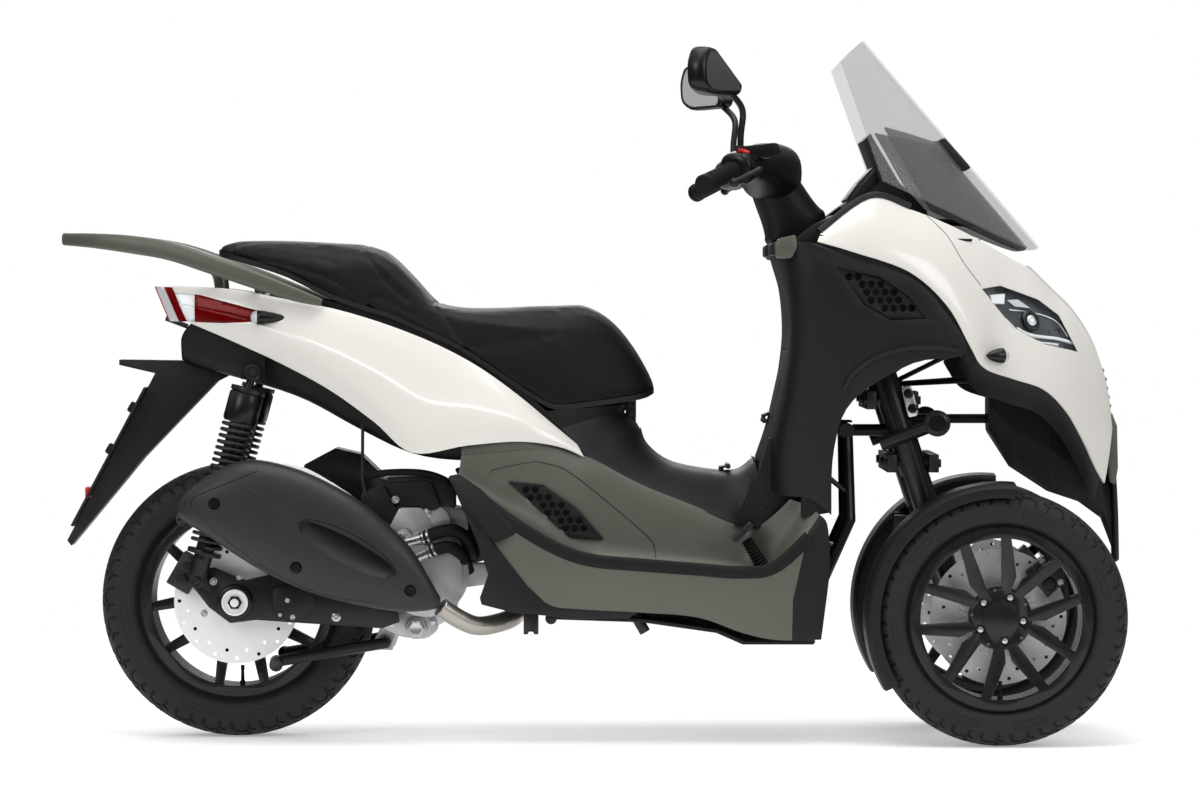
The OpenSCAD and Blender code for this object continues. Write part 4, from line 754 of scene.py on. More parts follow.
screen_rows = [spline(screen_row(k / 18, 0, 4), 6) for k in range(19)]
panel("clear_screen", screen_rows, screen_clear, "windscreen", edge=0)
mount_rows = [spline(screen_row(0.02 + 0.52 * k / 12, 16, 3), 6) for k in range(13)]
panel("smoked_mount", mount_rows, screen_smoke, "screen_mount", edge=0)
print("screen points:", len(screen_rows) * len(screen_rows[0]))

# %% [markdown]
# The bin under the seat and the exhaust bend are rounded lumps rather than sheets. Their solids are
# lofts with few facets. A copy is turned into quads and subdivided, which rounds it, while creases
# hold its ends.

# %% Subdivided lumps
def smooth_lump(node, name, material, crease, angle=50.0):
    """A subdivided copy of a lofted solid, with its sharp edges partly held."""
    skin = welded(node)
    bmesh.ops.dissolve_limit(skin, angle_limit=math.radians(0.5), verts=skin.verts, edges=skin.edges)
    bmesh.ops.join_triangles(skin, faces=skin.faces[:], angle_face_threshold=math.radians(40),
                             angle_shape_threshold=math.radians(60))
    held = skin.edges.layers.float.get("crease_edge") or skin.edges.layers.float.new("crease_edge")
    for edge in skin.edges:
        if len(edge.link_faces) == 2 and edge.calc_face_angle(0) > math.radians(angle):
            edge[held] = crease
    mesh = bpy.data.meshes.new(name)
    skin.to_mesh(mesh)
    skin.free()
    made = show(name, mesh, material, body_of(node))
    subdivide(made, 2)
    shade(made.data, 60)
    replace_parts(made, node)


smooth_lump("storage_bin", "bin_moulding", grained_black, crease=0.8, angle=35)
smooth_lump("exhaust_pipe", "exhaust_bend", pipe_steel, crease=1.0)
print("lumps smoothed")

# %% [markdown]
# A few solids are right as they are and only need a finish: tubes, rods and parts that are hidden.

# %% Finishes of plain solids
PLAIN = {
    "frame": satin_black_paint, "head_frame": satin_black_paint, "handlebar": satin_black_paint,
    "lid_hinges": satin_black_paint,
    "nose_liner": grained_black, "indicators": smooth_black, "grips": grip_rubber}
for node, material in PLAIN.items():
    paint(nodes[node].data, material)
print("plain solids:", sorted(PLAIN))

# %% [markdown]
# Bolts, hoses, trim strips and lamp parts are too small to be worth drawing as solids. They are built
# point by point here. A shape is a list of points and a list of faces; each helper adds one form to
# it: a turned form, a tube along a path, a strip with a given section, or a flat plate. One piece
# can hold many forms, so that all the bolts of an engine need only one object.

# %% Small shapes
def new_shape():
    """An empty shape: a list of points and a list of faces."""
    return [], []


def new_shapes(count):
    return [new_shape() for _ in range(count)]


def unit(v):
    v = np.asarray(v, float)
    return v / np.linalg.norm(v)


def add_rows(shape, rows, closed=True, caps=True):
    """Joins rows of points into a skin; closed rows are rings."""
    points, faces = shape
    first, wide = len(points), len(rows[0])
    points.extend(tuple(np.asarray(p, float)) for row in rows for p in row)
    for i in range(len(rows) - 1):
        for j in range(wide if closed else wide - 1):
            a, b = first + i * wide + j, first + i * wide + (j + 1) % wide
            faces.append((a, a + wide, b + wide, b))
    if closed and caps:
        faces.append(tuple(range(first, first + wide)))
        faces.append(tuple(range(first + (len(rows) - 1) * wide, first + len(rows) * wide)))


def side_vectors(axis):
    """Two directions at right angles to an axis."""
    axis = unit(axis)
    other = (0, 0, 1) if abs(axis[2]) < 0.9 else (1, 0, 0)
    u = unit(np.cross(other, axis))
    return u, np.cross(axis, u)


def add_turned(shape, place, axis, profile, sides=24, turn=0.0):
    """A turned form: profile is a list of radius and distance along the axis."""
    u, v = side_vectors(axis)
    axis, place = unit(axis), np.asarray(place, float)
    angles = [turn + 2 * math.pi * k / sides for k in range(sides)]
    add_rows(shape, [[place + axis * h + r * (math.cos(a) * u + math.sin(a) * v) for a in angles]
                     for r, h in profile])


def add_tube(shape, path, radius, sides=10):
    """A round tube along a path; radius may be one number or one for each point."""
    path = [np.asarray(p, float) for p in path]
    radii = radius if hasattr(radius, "__len__") else [radius] * len(path)
    u = None
    rows = []
    for i, p in enumerate(path):
        t = unit(path[min(i + 1, len(path) - 1)] - path[max(i - 1, 0)])
        u = side_vectors(t)[0] if u is None else unit(u - t * np.dot(u, t))
        v = np.cross(t, u)
        rows.append([p + radii[i] * (math.cos(a) * u + math.sin(a) * v)
                     for a in [2 * math.pi * k / sides for k in range(sides)]])
    add_rows(shape, rows)


def add_strip(shape, path, normals, section):
    """A strip along a path: section gives offsets sideways and along the normal."""
    path = [np.asarray(p, float) for p in path]
    rows = []
    for i, p in enumerate(path):
        t = unit(path[min(i + 1, len(path) - 1)] - path[max(i - 1, 0)])
        n = unit(np.asarray(normals[i], float) - t * np.dot(normals[i], t))
        s = np.cross(n, t)
        rows.append([p + a * s + b * n for a, b in section])
    add_rows(shape, rows)


def add_plate(shape, outline, low, high):
    """A flat plate: an outline in X and Z between two values of y."""
    add_rows(shape, [[(x, y, z) for x, z in outline] for y in (low, high)])


def add_bolt(shape, place, axis, radius, height):
    """A hexagon head with a chamfer, on a washer."""
    add_turned(shape, place, axis, [(radius * 1.45, -1.0), (radius * 1.45, 1.0), (radius * 1.35, 1.4)], 20)
    add_turned(shape, place, axis, [(radius, 0), (radius, height * 0.8), (radius * 0.82, height)], 6)


def piece(name, shape, material, body, round_by=0.0, both=False, sharp=35.0):
    """A piece from a shape in millimetres, with its edges rounded if asked."""
    points, faces = shape
    made = show(name, closed_mesh(name, in_metres(points), faces), material, body, sharp)
    if round_by:
        round_edges(made, round_by, 35)
        shade(made.data, sharp + 10)
    if both:
        add_left(made)
        made.data.set_sharp_from_angle(angle=math.radians(sharp))
    return made


def skin_of(made):
    """A search tree of a piece's faces, for putting small things on its surface."""
    return BVHTree.FromObject(made, bpy.context.evaluated_depsgraph_get())


def on_side(tree, x, z, lift=0.0):
    """The point of a surface that the right side shows at x, z, lifted outwards, and its normal."""
    place, normal, _, _ = tree.ray_cast(Vector((x, -600, z)) * 0.001, Vector((0, 1, 0)))
    if place is None:
        return None
    if normal.y > 0:
        normal = -normal
    return np.array(place) * 1000 + lift * np.array(normal), np.array(normal)


def line_on(tree, points, steps, lift=0.0):
    """A smooth line through points in X and Z, laid on the right side of a surface."""
    found = [on_side(tree, x, z, lift) for x, z in spline(points, steps)]
    return [f for f in found if f is not None]


def rounded_outline(points, radius, steps=4):
    """A polygon with its corners rounded off."""
    made = []
    count = len(points)
    for i in range(count):
        a, b, c = (np.asarray(points[(i + k) % count], float) for k in (-1, 0, 1))
        cut = min(radius, 0.45 * np.linalg.norm(a - b), 0.45 * np.linalg.norm(c - b))
        start, end = b + cut * unit(a - b), b + cut * unit(c - b)
        for k in range(steps + 1):
            t = k / steps
            made.append(tuple((1 - t) ** 2 * start + 2 * t * (1 - t) * b + t ** 2 * end))
    return made


print("shape helpers ready")

# %% [markdown]
# The floor is a pale disc. Its rim fades to nothing, so that it runs into the white background
# without an edge, and only the soft shadow under the wheels shows.

# %% Studio floor
FLOOR_RADIUS = 3.4
floor_shape = new_shape()
floor_angles = [2 * math.pi * k / 64 for k in range(64)]
floor_rings = [[(1000 * FLOOR_RADIUS * r * math.cos(a), 1000 * FLOOR_RADIUS * r * math.sin(a), 0)
                for a in floor_angles] for r in (0.02, 0.5, 1)]
add_rows(floor_shape, floor_rings, caps=False)
floor_mesh = bpy.data.meshes.new("studio_floor")
floor_mesh.from_pydata(in_metres(floor_shape[0]), [], floor_shape[1] + [tuple(range(64))])
studio_floor = bpy.data.objects.new("studio_floor", floor_mesh)
scene.collection.objects.link(studio_floor)
pale = bpy.data.materials.new("pale_floor")
pale.use_nodes = True
pale_tree = pale.node_tree
pale_shader = pale_tree.nodes["Principled BSDF"]
pale_shader.inputs["Roughness"].default_value = 0.8
pale_shader.inputs["Specular IOR Level"].default_value = 0.1
pale_shader.inputs["Base Color"].default_value = (0.9, 0.9, 0.9, 1)
pale_shader.inputs["Emission Color"].default_value = (1, 1, 1, 1)
pale_shader.inputs["Emission Strength"].default_value = 0.3
from_middle = pale_tree.nodes.new("ShaderNodeVectorMath")
from_middle.operation = "LENGTH"
pale_tree.links.new(pale_tree.nodes.new("ShaderNodeTexCoord").outputs["Object"], from_middle.inputs[0])
fade = add_node(pale_tree, "ShaderNodeMapRange", From_Min=1.5, From_Max=FLOOR_RADIUS * 0.97, To_Min=1.0,
                To_Max=0.0)
fade.interpolation_type = "SMOOTHSTEP"
pale_tree.links.new(from_middle.outputs["Value"], fade.inputs["Value"])
pale_tree.links.new(fade.outputs["Result"], pale_shader.inputs["Alpha"])
floor_mesh.materials.append(pale)
print("floor radius:", FLOOR_RADIUS, "m")

# %% [markdown]
# The seat is foam under a grained black cover, so it is made as a cushion. Its shape is drawn in a
# little, turned into an even mesh and swollen by a cloth simulation with air pressure inside. The
# underside is pinned, because there it rests on the hard pan. Sewn seams are pressed in afterwards.

# %% Seat cushion
SEAT_STATIONS = [
    (-714, 926, 942, 66, 56), (-704, 922, 949, 96, 82), (-660, 910, 953, 120, 104),
    (-580, 884, 953, 136, 116),
    (-500, 844, 949, 147, 124), (-420, 816, 943, 155, 130), (-384, 805, 924, 158, 136),
    (-340, 786, 880, 160, 140),
    (-300, 768, 838, 162, 146), (-250, 744, 825, 166, 150), (-180, 698, 824, 165, 148),
    (-120, 658, 827, 162, 142),
    (-69, 632, 828, 156, 132), (-10, 636, 828, 142, 114), (40, 642, 800, 124, 94), (80, 648, 752, 106, 76),
    (106, 654, 708, 84, 56), (120, 662, 678, 54, 36)]
SEAT_DRAW = 2.5
SEAT_VOXEL = 0.006
SEAT_SWELL = 0.0045
SEAT_PAN = 9.0
SEAT_STEPS = 20


def seat_ring(s, draw=0.0, low=0.0):
    """The outline of the seat at one station, drawn in by some millimetres and cut off below."""
    x, bottom, top, wide, narrow = s
    bottom, top, wide, narrow = bottom + low, top - draw, wide - draw, narrow - draw
    high = top - bottom
    half = [(narrow * 0.3, top - 0.4), (narrow * 0.62, top - 2), (narrow * 0.9, top - high * 0.08),
            (mix(narrow, wide, 0.35), top - high * 0.22), (mix(narrow, wide, 0.8), bottom + high * 0.4),
            (wide, bottom + high * 0.12), (wide * 0.97, bottom), (wide * 0.5, bottom)]
    return ([(x, 0, top)] + [(x, -y, z) for y, z in half] + [(x, 0, bottom)]
            + [(x, y, z) for y, z in reversed(half)])


def seat_shape(draw, low):
    shape = new_shape()
    add_rows(shape, spline([np.array(seat_ring(s, draw, low)) for s in SEAT_STATIONS], 3))
    return shape


cushion = piece("seat_cushion", seat_shape(SEAT_DRAW, SEAT_PAN), seat_leather, body_of("seat"))
even = cushion.modifiers.new("even_mesh", "REMESH")
even.mode = "VOXEL"
even.voxel_size = SEAT_VOXEL
bake(cushion)
before = np.array([v.co for v in cushion.data.vertices])
pinned = cushion.vertex_groups.new(name="underside")
down = [v.index for v in cushion.data.vertices if v.normal.z < -0.6]
pinned.add(down, 1.0, "REPLACE")
cloth = cushion.modifiers.new("foam_and_cover", "CLOTH")
cloth.settings.quality = 4
cloth.settings.mass = 0.4
cloth.settings.tension_stiffness = cloth.settings.compression_stiffness = 18
cloth.settings.bending_stiffness = 6
cloth.settings.use_pressure = True
cloth.settings.uniform_pressure_force = 4
cloth.settings.vertex_group_mass = "underside"
cloth.settings.effector_weights.gravity = 0
cloth.point_cache.frame_start, cloth.point_cache.frame_end = 1, SEAT_STEPS
for step in range(1, SEAT_STEPS + 1):
    scene.frame_set(step)
    cushion.evaluated_get(bpy.context.evaluated_depsgraph_get())
bake(cushion)
scene.frame_set(1)
after = np.array([v.co for v in cushion.data.vertices])
moved = after - before
reach = np.linalg.norm(moved, axis=1, keepdims=True)
after = before + moved * np.minimum(1, SEAT_SWELL / np.maximum(reach, 1e-9))
cushion.data.vertices.foreach_set("co", after.ravel())
print("seat swelled by up to", round(1000 * float(reach.max()), 1), "mm, kept", 1000 * SEAT_SWELL)
subdivide(cushion, 1)
cushion.data.shade_smooth()

# Sewn seams: lines on the sides, and the two that cross over the top
SIDE_SEAMS = [
    [(-690, 928), (-628, 917), (-574, 906), (-507, 886), (-467, 864), (-430, 836), (-403, 806)],
    [(-430, 928), (-412, 906), (-392, 880), (-352, 842)],
    [(-291, 826), (-276, 806), (-260, 784), (-244, 758), (-232, 738)]]
seat_tree = skin_of(cushion)
seams = []
for points in SIDE_SEAMS:
    right = [place for place, _ in line_on(seat_tree, points, 10)]
    seams += [right, [p * (1, -1, 1) for p in right]]
for x in (-430, -291):
    over = []
    for k in range(61):
        y = -122 + 244 * k / 60
        place = seat_tree.ray_cast(Vector((x - 0.06 * abs(y), y, 1200)) * 0.001, Vector((0, 0, -1)))[0]
        over.append(np.array(place) * 1000)
    seams.append(over)
seam_points = np.concatenate([np.array(spline(s, 2)) for s in seams])
near = KDTree(len(seam_points))
for i, p in enumerate(seam_points):
    near.insert(Vector(p * 0.001), i)
near.balance()
SEAM_WIDTH, SEAM_DEPTH = 0.0055, 0.0028
for v in cushion.data.vertices:
    away = near.find(v.co)[2]
    if away < 3 * SEAM_WIDTH:
        v.co -= v.normal * SEAM_DEPTH * math.exp(-(away / SEAM_WIDTH) ** 2)
cushion.data.update()
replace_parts(cushion, "seat")
print("seat cushion:", len(cushion.data.polygons), "faces,", len(seams), "seams")

# %% [markdown]
# Stitches run along both sides of each seam as short bars of thread. Below the cushion lies a hard
# plastic pan with two ears for the hinge at the seat's nose.

# %% Seat stitches and pan
STITCH, STITCH_GAP = 5.0, 2.6
seat_tree = skin_of(cushion)
thread = new_shape()
for line in seams:
    line = [np.asarray(p) for p in line]
    lengths = np.concatenate([[0], np.cumsum([np.linalg.norm(b - a) for a, b in zip(line, line[1:])])])
    count = int(lengths[-1] // (STITCH + STITCH_GAP))
    for k in range(count):
        ends = []
        for d in (k * (STITCH + STITCH_GAP), k * (STITCH + STITCH_GAP) + STITCH):
            p = np.array([np.interp(d, lengths, [q[i] for q in line]) for i in range(3)])
            place, normal, _, _ = seat_tree.find_nearest(Vector(p * 0.001))
            ends.append((np.array(place) * 1000, np.array(normal)))
        (a, n), (b, _) = ends
        aside = unit(np.cross(n, b - a)) * 4.2
        for side in (-1, 1):
            add_tube(thread, [a + side * aside + 0.9 * n, b + side * aside + 0.9 * n], 0.55, 5)
black_thread = finish("black_thread", linear(44, 44, 45), 0.6, spec=0.2, grain=0.2)
piece("seat_stitches", thread, black_thread, body_of("seat"))
pan = new_shape()
add_rows(pan, spline([np.array([(x, -0.955 * w, b + SEAT_PAN + 2), (x, -0.955 * w, b + 1), (x, -0.9 * w, b),
                                (x, 0.9 * w, b), (x, 0.955 * w, b + 1), (x, 0.955 * w, b + SEAT_PAN + 2)])
                      for x, b, _, w, _ in SEAT_STATIONS], 3))
SEAT_EAR = [(66, 616), (71, 610), (81, 610), (86, 616), (86, 656), (66, 656)]
for y in (-36, 24):
    add_plate(pan, SEAT_EAR, y, y + 12)
piece("seat_pan", pan, grained_black, body_of("seat"))
print("stitch points:", len(thread[0]))

# %% [markdown]
# A tyre is a ring with a section: a flat bead, a bulging side and a crowned tread. The tread's
# grooves are hooked zigzags that come in from both shoulders, in turn, round a plain middle rib. The
# section is turned into a fine ring of points, and each point near a groove line sinks by the
# groove's depth. This gives real grooves, which also show in the outline.

# %% Tyres
GROOVE_PITCH = 62.0
GROOVE_LINES = [
    [(4, -4), (6, 10), (22, 18), (30, 12), (40, 20), (32, 34), (46, 44)],
    [(40, -4), (38, 6), (50, 12)],
    [(10, 30), (22, 38), (18, 52)]]
GROOVE_WIDTH, GROOVE_DEPTH = 2.1, 4.0
PITCH_STEPS, SECTION_STEP = 22, 2.6


def groove_depth(along, across):
    """How deep the tread is cut at points given in millimetres along and across it."""
    nearest = np.full(along.shape, 1e6)
    for line in GROOVE_LINES:
        for (ax, ay), (bx, by) in zip(line, line[1:]):
            for turn in (-GROOVE_PITCH, 0, GROOVE_PITCH):
                dx, dy = bx - ax, by - ay
                t = np.clip(((along - ax - turn) * dx + (across - ay) * dy) / (dx * dx + dy * dy), 0, 1)
                nearest = np.minimum(nearest, np.hypot(along - ax - turn - t * dx, across - ay - t * dy))
    return GROOVE_DEPTH * np.clip((GROOVE_WIDTH + 0.9 - nearest) / 1.2, 0, 1)


def tyre_section(outer, width, rim, half_rim):
    """Half of a tyre's section from the bead to the crown, as radius and distance from the middle."""
    bead, half = half_rim - 10.5, width / 2
    shares = [(0, bead), (0.14, bead), (0.23, half - 6), (0.36, half - 1.6), (0.5, half - 0.3), (0.66, half),
              (0.8, half - 7), (0.91, half - 20), (0.975, half - 36), (1, 0)]
    low = rim / 2 + 0.3
    corner = [np.array((mix(low, outer / 2, a), b)) for a, b in shares]
    made = [corner[0], corner[1]] + spline(corner[1:], 6)[1:]
    # Even steps over the tread, so that the grooves come out alike
    lengths = np.concatenate([[0], np.cumsum([np.linalg.norm(b - a) for a, b in zip(made, made[1:])])])
    even_steps = np.arange(0, lengths[-1], SECTION_STEP)
    return np.array([[np.interp(d, lengths, [p[i] for p in made]) for i in (0, 1)]
                     for d in even_steps] + [made[-1]])


def tyre(name, node, middle, outer, width, rim, half_rim):
    half = tyre_section(outer, width, rim, half_rim)
    pitch_count = int(round(math.pi * outer / GROOVE_PITCH))
    round_steps = pitch_count * PITCH_STEPS
    angle = np.arange(round_steps) * 2 * math.pi / round_steps
    along = np.arange(round_steps) * GROOVE_PITCH / PITCH_STEPS % GROOVE_PITCH
    lengths = np.concatenate([[0], np.cumsum(np.linalg.norm(np.diff(half, axis=0), axis=1))])
    shoulder = np.interp(mix(rim / 2, outer / 2, 0.74), half[:, 0], lengths)
    rows = []
    whole_section = [(i, 1) for i in range(len(half))] + [(i, -1) for i in range(len(half) - 2, -1, -1)]
    for i, side in whole_section:
        radius, away = half[i]
        place = along if side > 0 else (along + GROOVE_PITCH / 2) % GROOVE_PITCH
        across = np.full(round_steps, lengths[i] - shoulder)
        cut = groove_depth(place, across) if lengths[i] > shoulder - 6 else np.zeros(round_steps)
        # Fine ribs round the side wall
        if 0.3 < (radius - rim / 2) / (outer - rim) * 2 < 0.36:
            cut = cut - 0.8
        inward = np.array([half[i][0] - mix(rim / 2, outer / 2, 0.55), half[i][1]])
        inward = inward / (np.linalg.norm(inward) + 1e-9)
        r, y = radius - cut * inward[0], side * (away - cut * inward[1])
        rows.append(np.stack([middle[0] + r * np.cos(angle), np.full(round_steps, middle[1]) - y,
                              middle[2] + r * np.sin(angle)], axis=1))
    shape = new_shape()
    add_rows(shape, rows + [rows[0]], caps=False)
    # Plain oblong frames in relief on both side walls
    for side in (-1, 1):
        for start in (250, 285, 20, 70, 140, 190):
            line = []
            for k in range(48):
                t = k / 48 * 2 * math.pi
                a = math.radians(start + 9 * abs(math.cos(t)) ** 0.35 * math.copysign(1, math.cos(t)))
                rise = abs(math.sin(t)) ** 0.5 * math.copysign(1, math.sin(t))
                r = mix(rim / 2, outer / 2, 0.47) + 5.5 * rise
                y = np.interp(r, half[:, 0], half[:, 1]) + 0.1
                line.append((middle[0] + r * math.cos(a), middle[1] - side * y, middle[2] + r * math.sin(a)))
            add_tube(shape, line + [line[0]], 0.7, 5)
    made = piece(name, shape, tyre_rubber, body_of(node), sharp=28)
    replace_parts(made, node)
    return pitch_count


SIDES = ((-1, "right"), (1, "left"))
FRONT_AXLE, REAR_AXLE = (770, 242), (-680, 264)
FRONT_WHEEL_Y = 232.5
for side, word in SIDES:
    tyre("treaded_tyre_" + word, "front_tyre_" + word, (FRONT_AXLE[0], side * FRONT_WHEEL_Y, FRONT_AXLE[1]),
         484, 110, 330, 46)
count = tyre("treaded_tyre_rear", "rear_tyre", (REAR_AXLE[0], 0, REAR_AXLE[1]), 528, 140, 356, 58)
print("tread blocks round the rear tyre:", count)

# %% [markdown]
# Each front wheel is held by five bright bolts in deep pockets round a plain hexagonal cap. Behind
# the spokes sits the toothed ring that tells the brakes how fast the wheel turns, and small rivets
# hold the drilled disc. They all turn with the wheel.

# %% Front wheel fittings
TEETH = 44


def round_hub(degrees):
    """Directions out from a hub and round it, at an angle in the side view."""
    a = math.radians(degrees)
    return np.array((math.cos(a), 0, math.sin(a))), np.array((-math.sin(a), 0, math.cos(a)))


for side, word in SIDES:
    out = np.array((0.0, side, 0.0))
    hub = np.array((FRONT_AXLE[0], side * FRONT_WHEEL_Y, FRONT_AXLE[1]))
    body = body_of("front_rim_" + word)
    lugs, cap, ring, rivets = new_shapes(4)
    for k in range(5):
        a = math.radians(65 + 72 * k)
        spot = hub + 43 * np.array((math.cos(a), 0, math.sin(a))) + out * 15.2
        add_turned(lugs, spot, out, [(8.2, 0), (8.2, 3), (6.6, 4.4), (6.2, 8.6), (5.2, 10), (2, 10.6)], 20)
        spot = hub + 54 * np.array((math.cos(a + 0.63), 0, math.sin(a + 0.63))) + out * 22.0
        add_turned(rivets, spot, out, [(2.6, -0.6), (2.6, 0.8), (1.6, 1.4)], 12)
    add_turned(cap, hub + out * 17.2, out, [(23.6, 0), (23.6, 4.6), (22.4, 6.2)], 32)
    add_turned(cap, hub + out * 23.2, out, [(21, 0), (21, 1.6), (19.4, 3.0), (17.8, 3.0), (17.0, 2.2)], 6,
               math.pi / 6)
    add_turned(ring, hub - out * 26.5, out, [(50, 0), (70, 0), (70, 3), (50, 3)], 60)
    for k in range(TEETH):
        u, w = round_hub(360 * k / TEETH)
        rows = [[hub - out * d + u * r + w * b for r, b in ((62, -2.6), (75, -3.0), (75, 3.0), (62, 2.6))]
                for d in (26.8, 22.6)]
        add_rows(ring, rows)
    piece("lug_bolts_" + word, lugs, zinc, body)
    piece("hub_cap_" + word, cap, dark_alloy, body, round_by=0.5)
    piece("toothed_ring_" + word, ring, brushed_steel, body, round_by=0.3)
    piece("disc_rivets_" + word, rivets, dark_alloy, body)
    # Caliper: two piston housings, a bridge and two bolts
    caliper, bolts = new_shapes(2)
    radial, across = round_hub(41)
    face = np.array((FRONT_AXLE[0], side * 222.4, FRONT_AXLE[1]))
    for b in (-15, 15):
        add_turned(caliper, face + radial * 113 + across * b, out,
                   [(13.5, -3), (13.5, 1.6), (11.6, 3.4), (9, 3.8)], 28)
    for b in (-26, 26):
        add_bolt(bolts, face + radial * 131 + across * b, out, 4.2, 4)
    carrier = body_of("knuckle_" + word)
    piece("caliper_pistons_" + word, caliper, satin_black_paint, carrier)
    piece("caliper_bolts_" + word, bolts, zinc, carrier)
    # Valve stem of the wheel
    stem = new_shape()
    low = hub + np.array((0, 0, -151)) + out * 14
    add_turned(stem, low, (0, 0, 1),
               [(5.2, -8), (5.2, 4), (3.6, 6), (3.2, 24), (3.9, 24.5), (3.9, 31), (3, 32)], 14)
    piece("valve_stem_" + word, stem, hose_rubber, body)
print("front wheels fitted")

# %% [markdown]
# The rear hub shows a bright ring round a dark cap, and bright bolts along the swinging arm and the
# brake. The rear wheel has its own valve stem at the bottom.

# %% Rear wheel fittings
right = np.array((0.0, -1.0, 0.0))
hub = np.array((REAR_AXLE[0], -128.0, REAR_AXLE[1]))
hub_dark, hub_bright, arm_bolts, rear_caliper = new_shapes(4)
add_turned(hub_dark, hub, right, [(33, -1), (33, 2), (31, 3.4), (25.5, 3.6), (25.2, 1.4)], 48)
add_turned(hub_bright, hub, right,
           [(25.2, 0.6), (25.2, 4.6), (23.6, 5.4), (21.6, 5.2), (21.2, 2.4), (12, 2.2)], 48)
add_turned(hub_dark, hub, right, [(13.5, 1.6), (13.5, 8.6), (12.4, 9.6), (9, 9.8)], 6)
add_turned(hub_bright, hub, right, [(8.2, 9), (8.2, 13), (7.2, 14), (3, 14)], 20)
ARM_BOLTS = [(-721, 304, 5), (-739, 243, 5), (-580, 268, 5.6), (-594, 240, 4.6), (-570, 236, 6),
             (-487, 236, 6), (-672, 312, 4)]
for x, z, r in ARM_BOLTS:
    add_bolt(arm_bolts, (x, -120.6, z), right, r, 6)
arm_frame = new_shape()
add_plate(arm_frame, rounded_outline([(-610, 292), (-540, 300), (-526, 262), (-556, 224), (-606, 228)], 14),
          -123.5, -120.3)
radial, across = round_hub(150)
for b in (-14, 14):
    add_turned(rear_caliper, np.array((REAR_AXLE[0], -110, REAR_AXLE[1])) + radial * 112 + across * b, right,
               [(12.5, -2), (12.5, 3), (10.5, 5), (8, 5.4)], 26)
piece("rear_hub_cap", hub_dark, smooth_black, "chassis")
piece("rear_hub_ring", hub_bright, brushed_steel, "chassis")
piece("rear_arm_bolts", arm_bolts, zinc, "chassis")
piece("rear_arm_plate", arm_frame, satin_black_paint, "chassis", round_by=0.8)
piece("rear_caliper_pistons", rear_caliper, satin_black_paint, "chassis")
stem = new_shape()
add_turned(stem, (REAR_AXLE[0] + 6, -8, REAR_AXLE[1] - 163), (0, 0, 1),
           [(5.2, -8), (5.2, 4), (3.6, 6), (3.2, 26), (3.9, 26.5), (3.9, 34), (3, 35)], 14)
piece("valve_stem_rear", stem, hose_rubber, body_of("rear_rim"))
print("rear wheel fitted")

# %% [markdown]
# The silencer is a long black shell with a deep scoop, through which air reaches the steel can inside
# it. Its rings are rounded boxes, and a curve through their points gives the skin. The scoop's cutter
# is steep along the upper lip and runs out below. Three sunk screws hold the shell, and two creases
# run along it.

# %% Silencer
SILENCER_Y = -232
SILENCER_STATIONS = [
    (-778, 432, 458, 18), (-760, 419, 482, 36), (-722, 396, 510, 48), (-672, 362, 535, 54),
    (-620, 330, 539, 55),
    (-549, 297, 521, 54), (-490, 277, 494, 52), (-436, 265, 462, 48), (-385, 256, 420, 42),
    (-342, 253, 376, 34), (-306, 256, 318, 25), (-284.5, 262, 280, 10)]
SCOOP_ENDS = ((-548, 0, 424), (-366, 0, 325))
SCOOP_SECTION = [(-29, 3), (-15, 14), (3, 28), (17, 38), (25, 36), (29, 20), (29, -40), (-29, -40)]
SILENCER_SCREWS = [(-707, 459), (-554, 339), (-340, 295)]


def power_ring(count, power):
    """Directions round a rounded box: power 1 gives a circle, lower powers are squarer."""
    angles = [2 * math.pi * k / count for k in range(count)]
    return [tuple(math.copysign(abs(w) ** power, w) for w in (math.cos(a), math.sin(a))) for a in angles]


shell = new_shape()
add_rows(shell, spline([np.array([(x, SILENCER_Y + half * c, mix(low, high, 0.5 + s / 2))
                                  for c, s in power_ring(48, 0.7)])
                        for x, low, high, half in SILENCER_STATIONS], 5))
silencer_shell = piece("silencer_shell", shell, muffler_black, "chassis", sharp=50)
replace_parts(silencer_shell, "silencer")
silencer_skin = skin_of(silencer_shell)
scoop_start, scoop_end = (np.array(p, float) for p in SCOOP_ENDS)
scoop_along = unit(scoop_end - scoop_start)
scoop_up = np.array((-scoop_along[2], 0, scoop_along[0]))
scoop_rows = []
for k in range(25):
    t = k / 24
    wide = max(0.04, (1 - (2 * t - 1) ** 2) ** 0.5)
    middle = mix(scoop_start, scoop_end, t)
    face = on_side(silencer_skin, middle[0], middle[2])[0][1]
    scoop_rows.append([middle + scoop_up * (a * wide) + np.array((0, face + (b * wide if b > 0 else b), 0))
                       for a, b in SCOOP_SECTION])
scoop = new_shape()
add_rows(scoop, scoop_rows)
screws, seam = new_shapes(2)
cutters = [cutter(in_metres(scoop[0]), scoop[1])]
for x, z in SILENCER_SCREWS:
    face = on_side(silencer_skin, x, z)[0]
    ring = [(x + 11.5 * math.cos(k * math.pi / 12), z + 11.5 * math.sin(k * math.pi / 12)) for k in range(24)]
    cutters.append(prism(ring, face[1] - 30, face[1] + 7))
    add_turned(screws, face + np.array((0, 7, 0)), (0, -1, 0), [(9, -1), (9, 4), (8, 5), (5.2, 5), (5.2, 2)],
               24)
carve(silencer_shell, cutters)
resharpen(silencer_shell, muffler_black, 42)
add_tube(seam, [p for p, n in line_on(silencer_skin, [(-750, 452), (-744, 471), (-684, 497), (-626, 520)],
                                      10)], 1.0, 6)
SILENCER_CREASES = [[(-668, 504), (-609, 466), (-545, 427)],
                    [(-745, 440), (-693, 395), (-624, 345), (-563, 310), (-484, 282), (-407, 272)]]
creases = new_shape()
for crease in SILENCER_CREASES:
    add_tube(creases, [p for p, n in line_on(silencer_skin, crease, 10, -0.6)], 1.8, 8)
piece("silencer_creases", creases, muffler_black, "chassis")
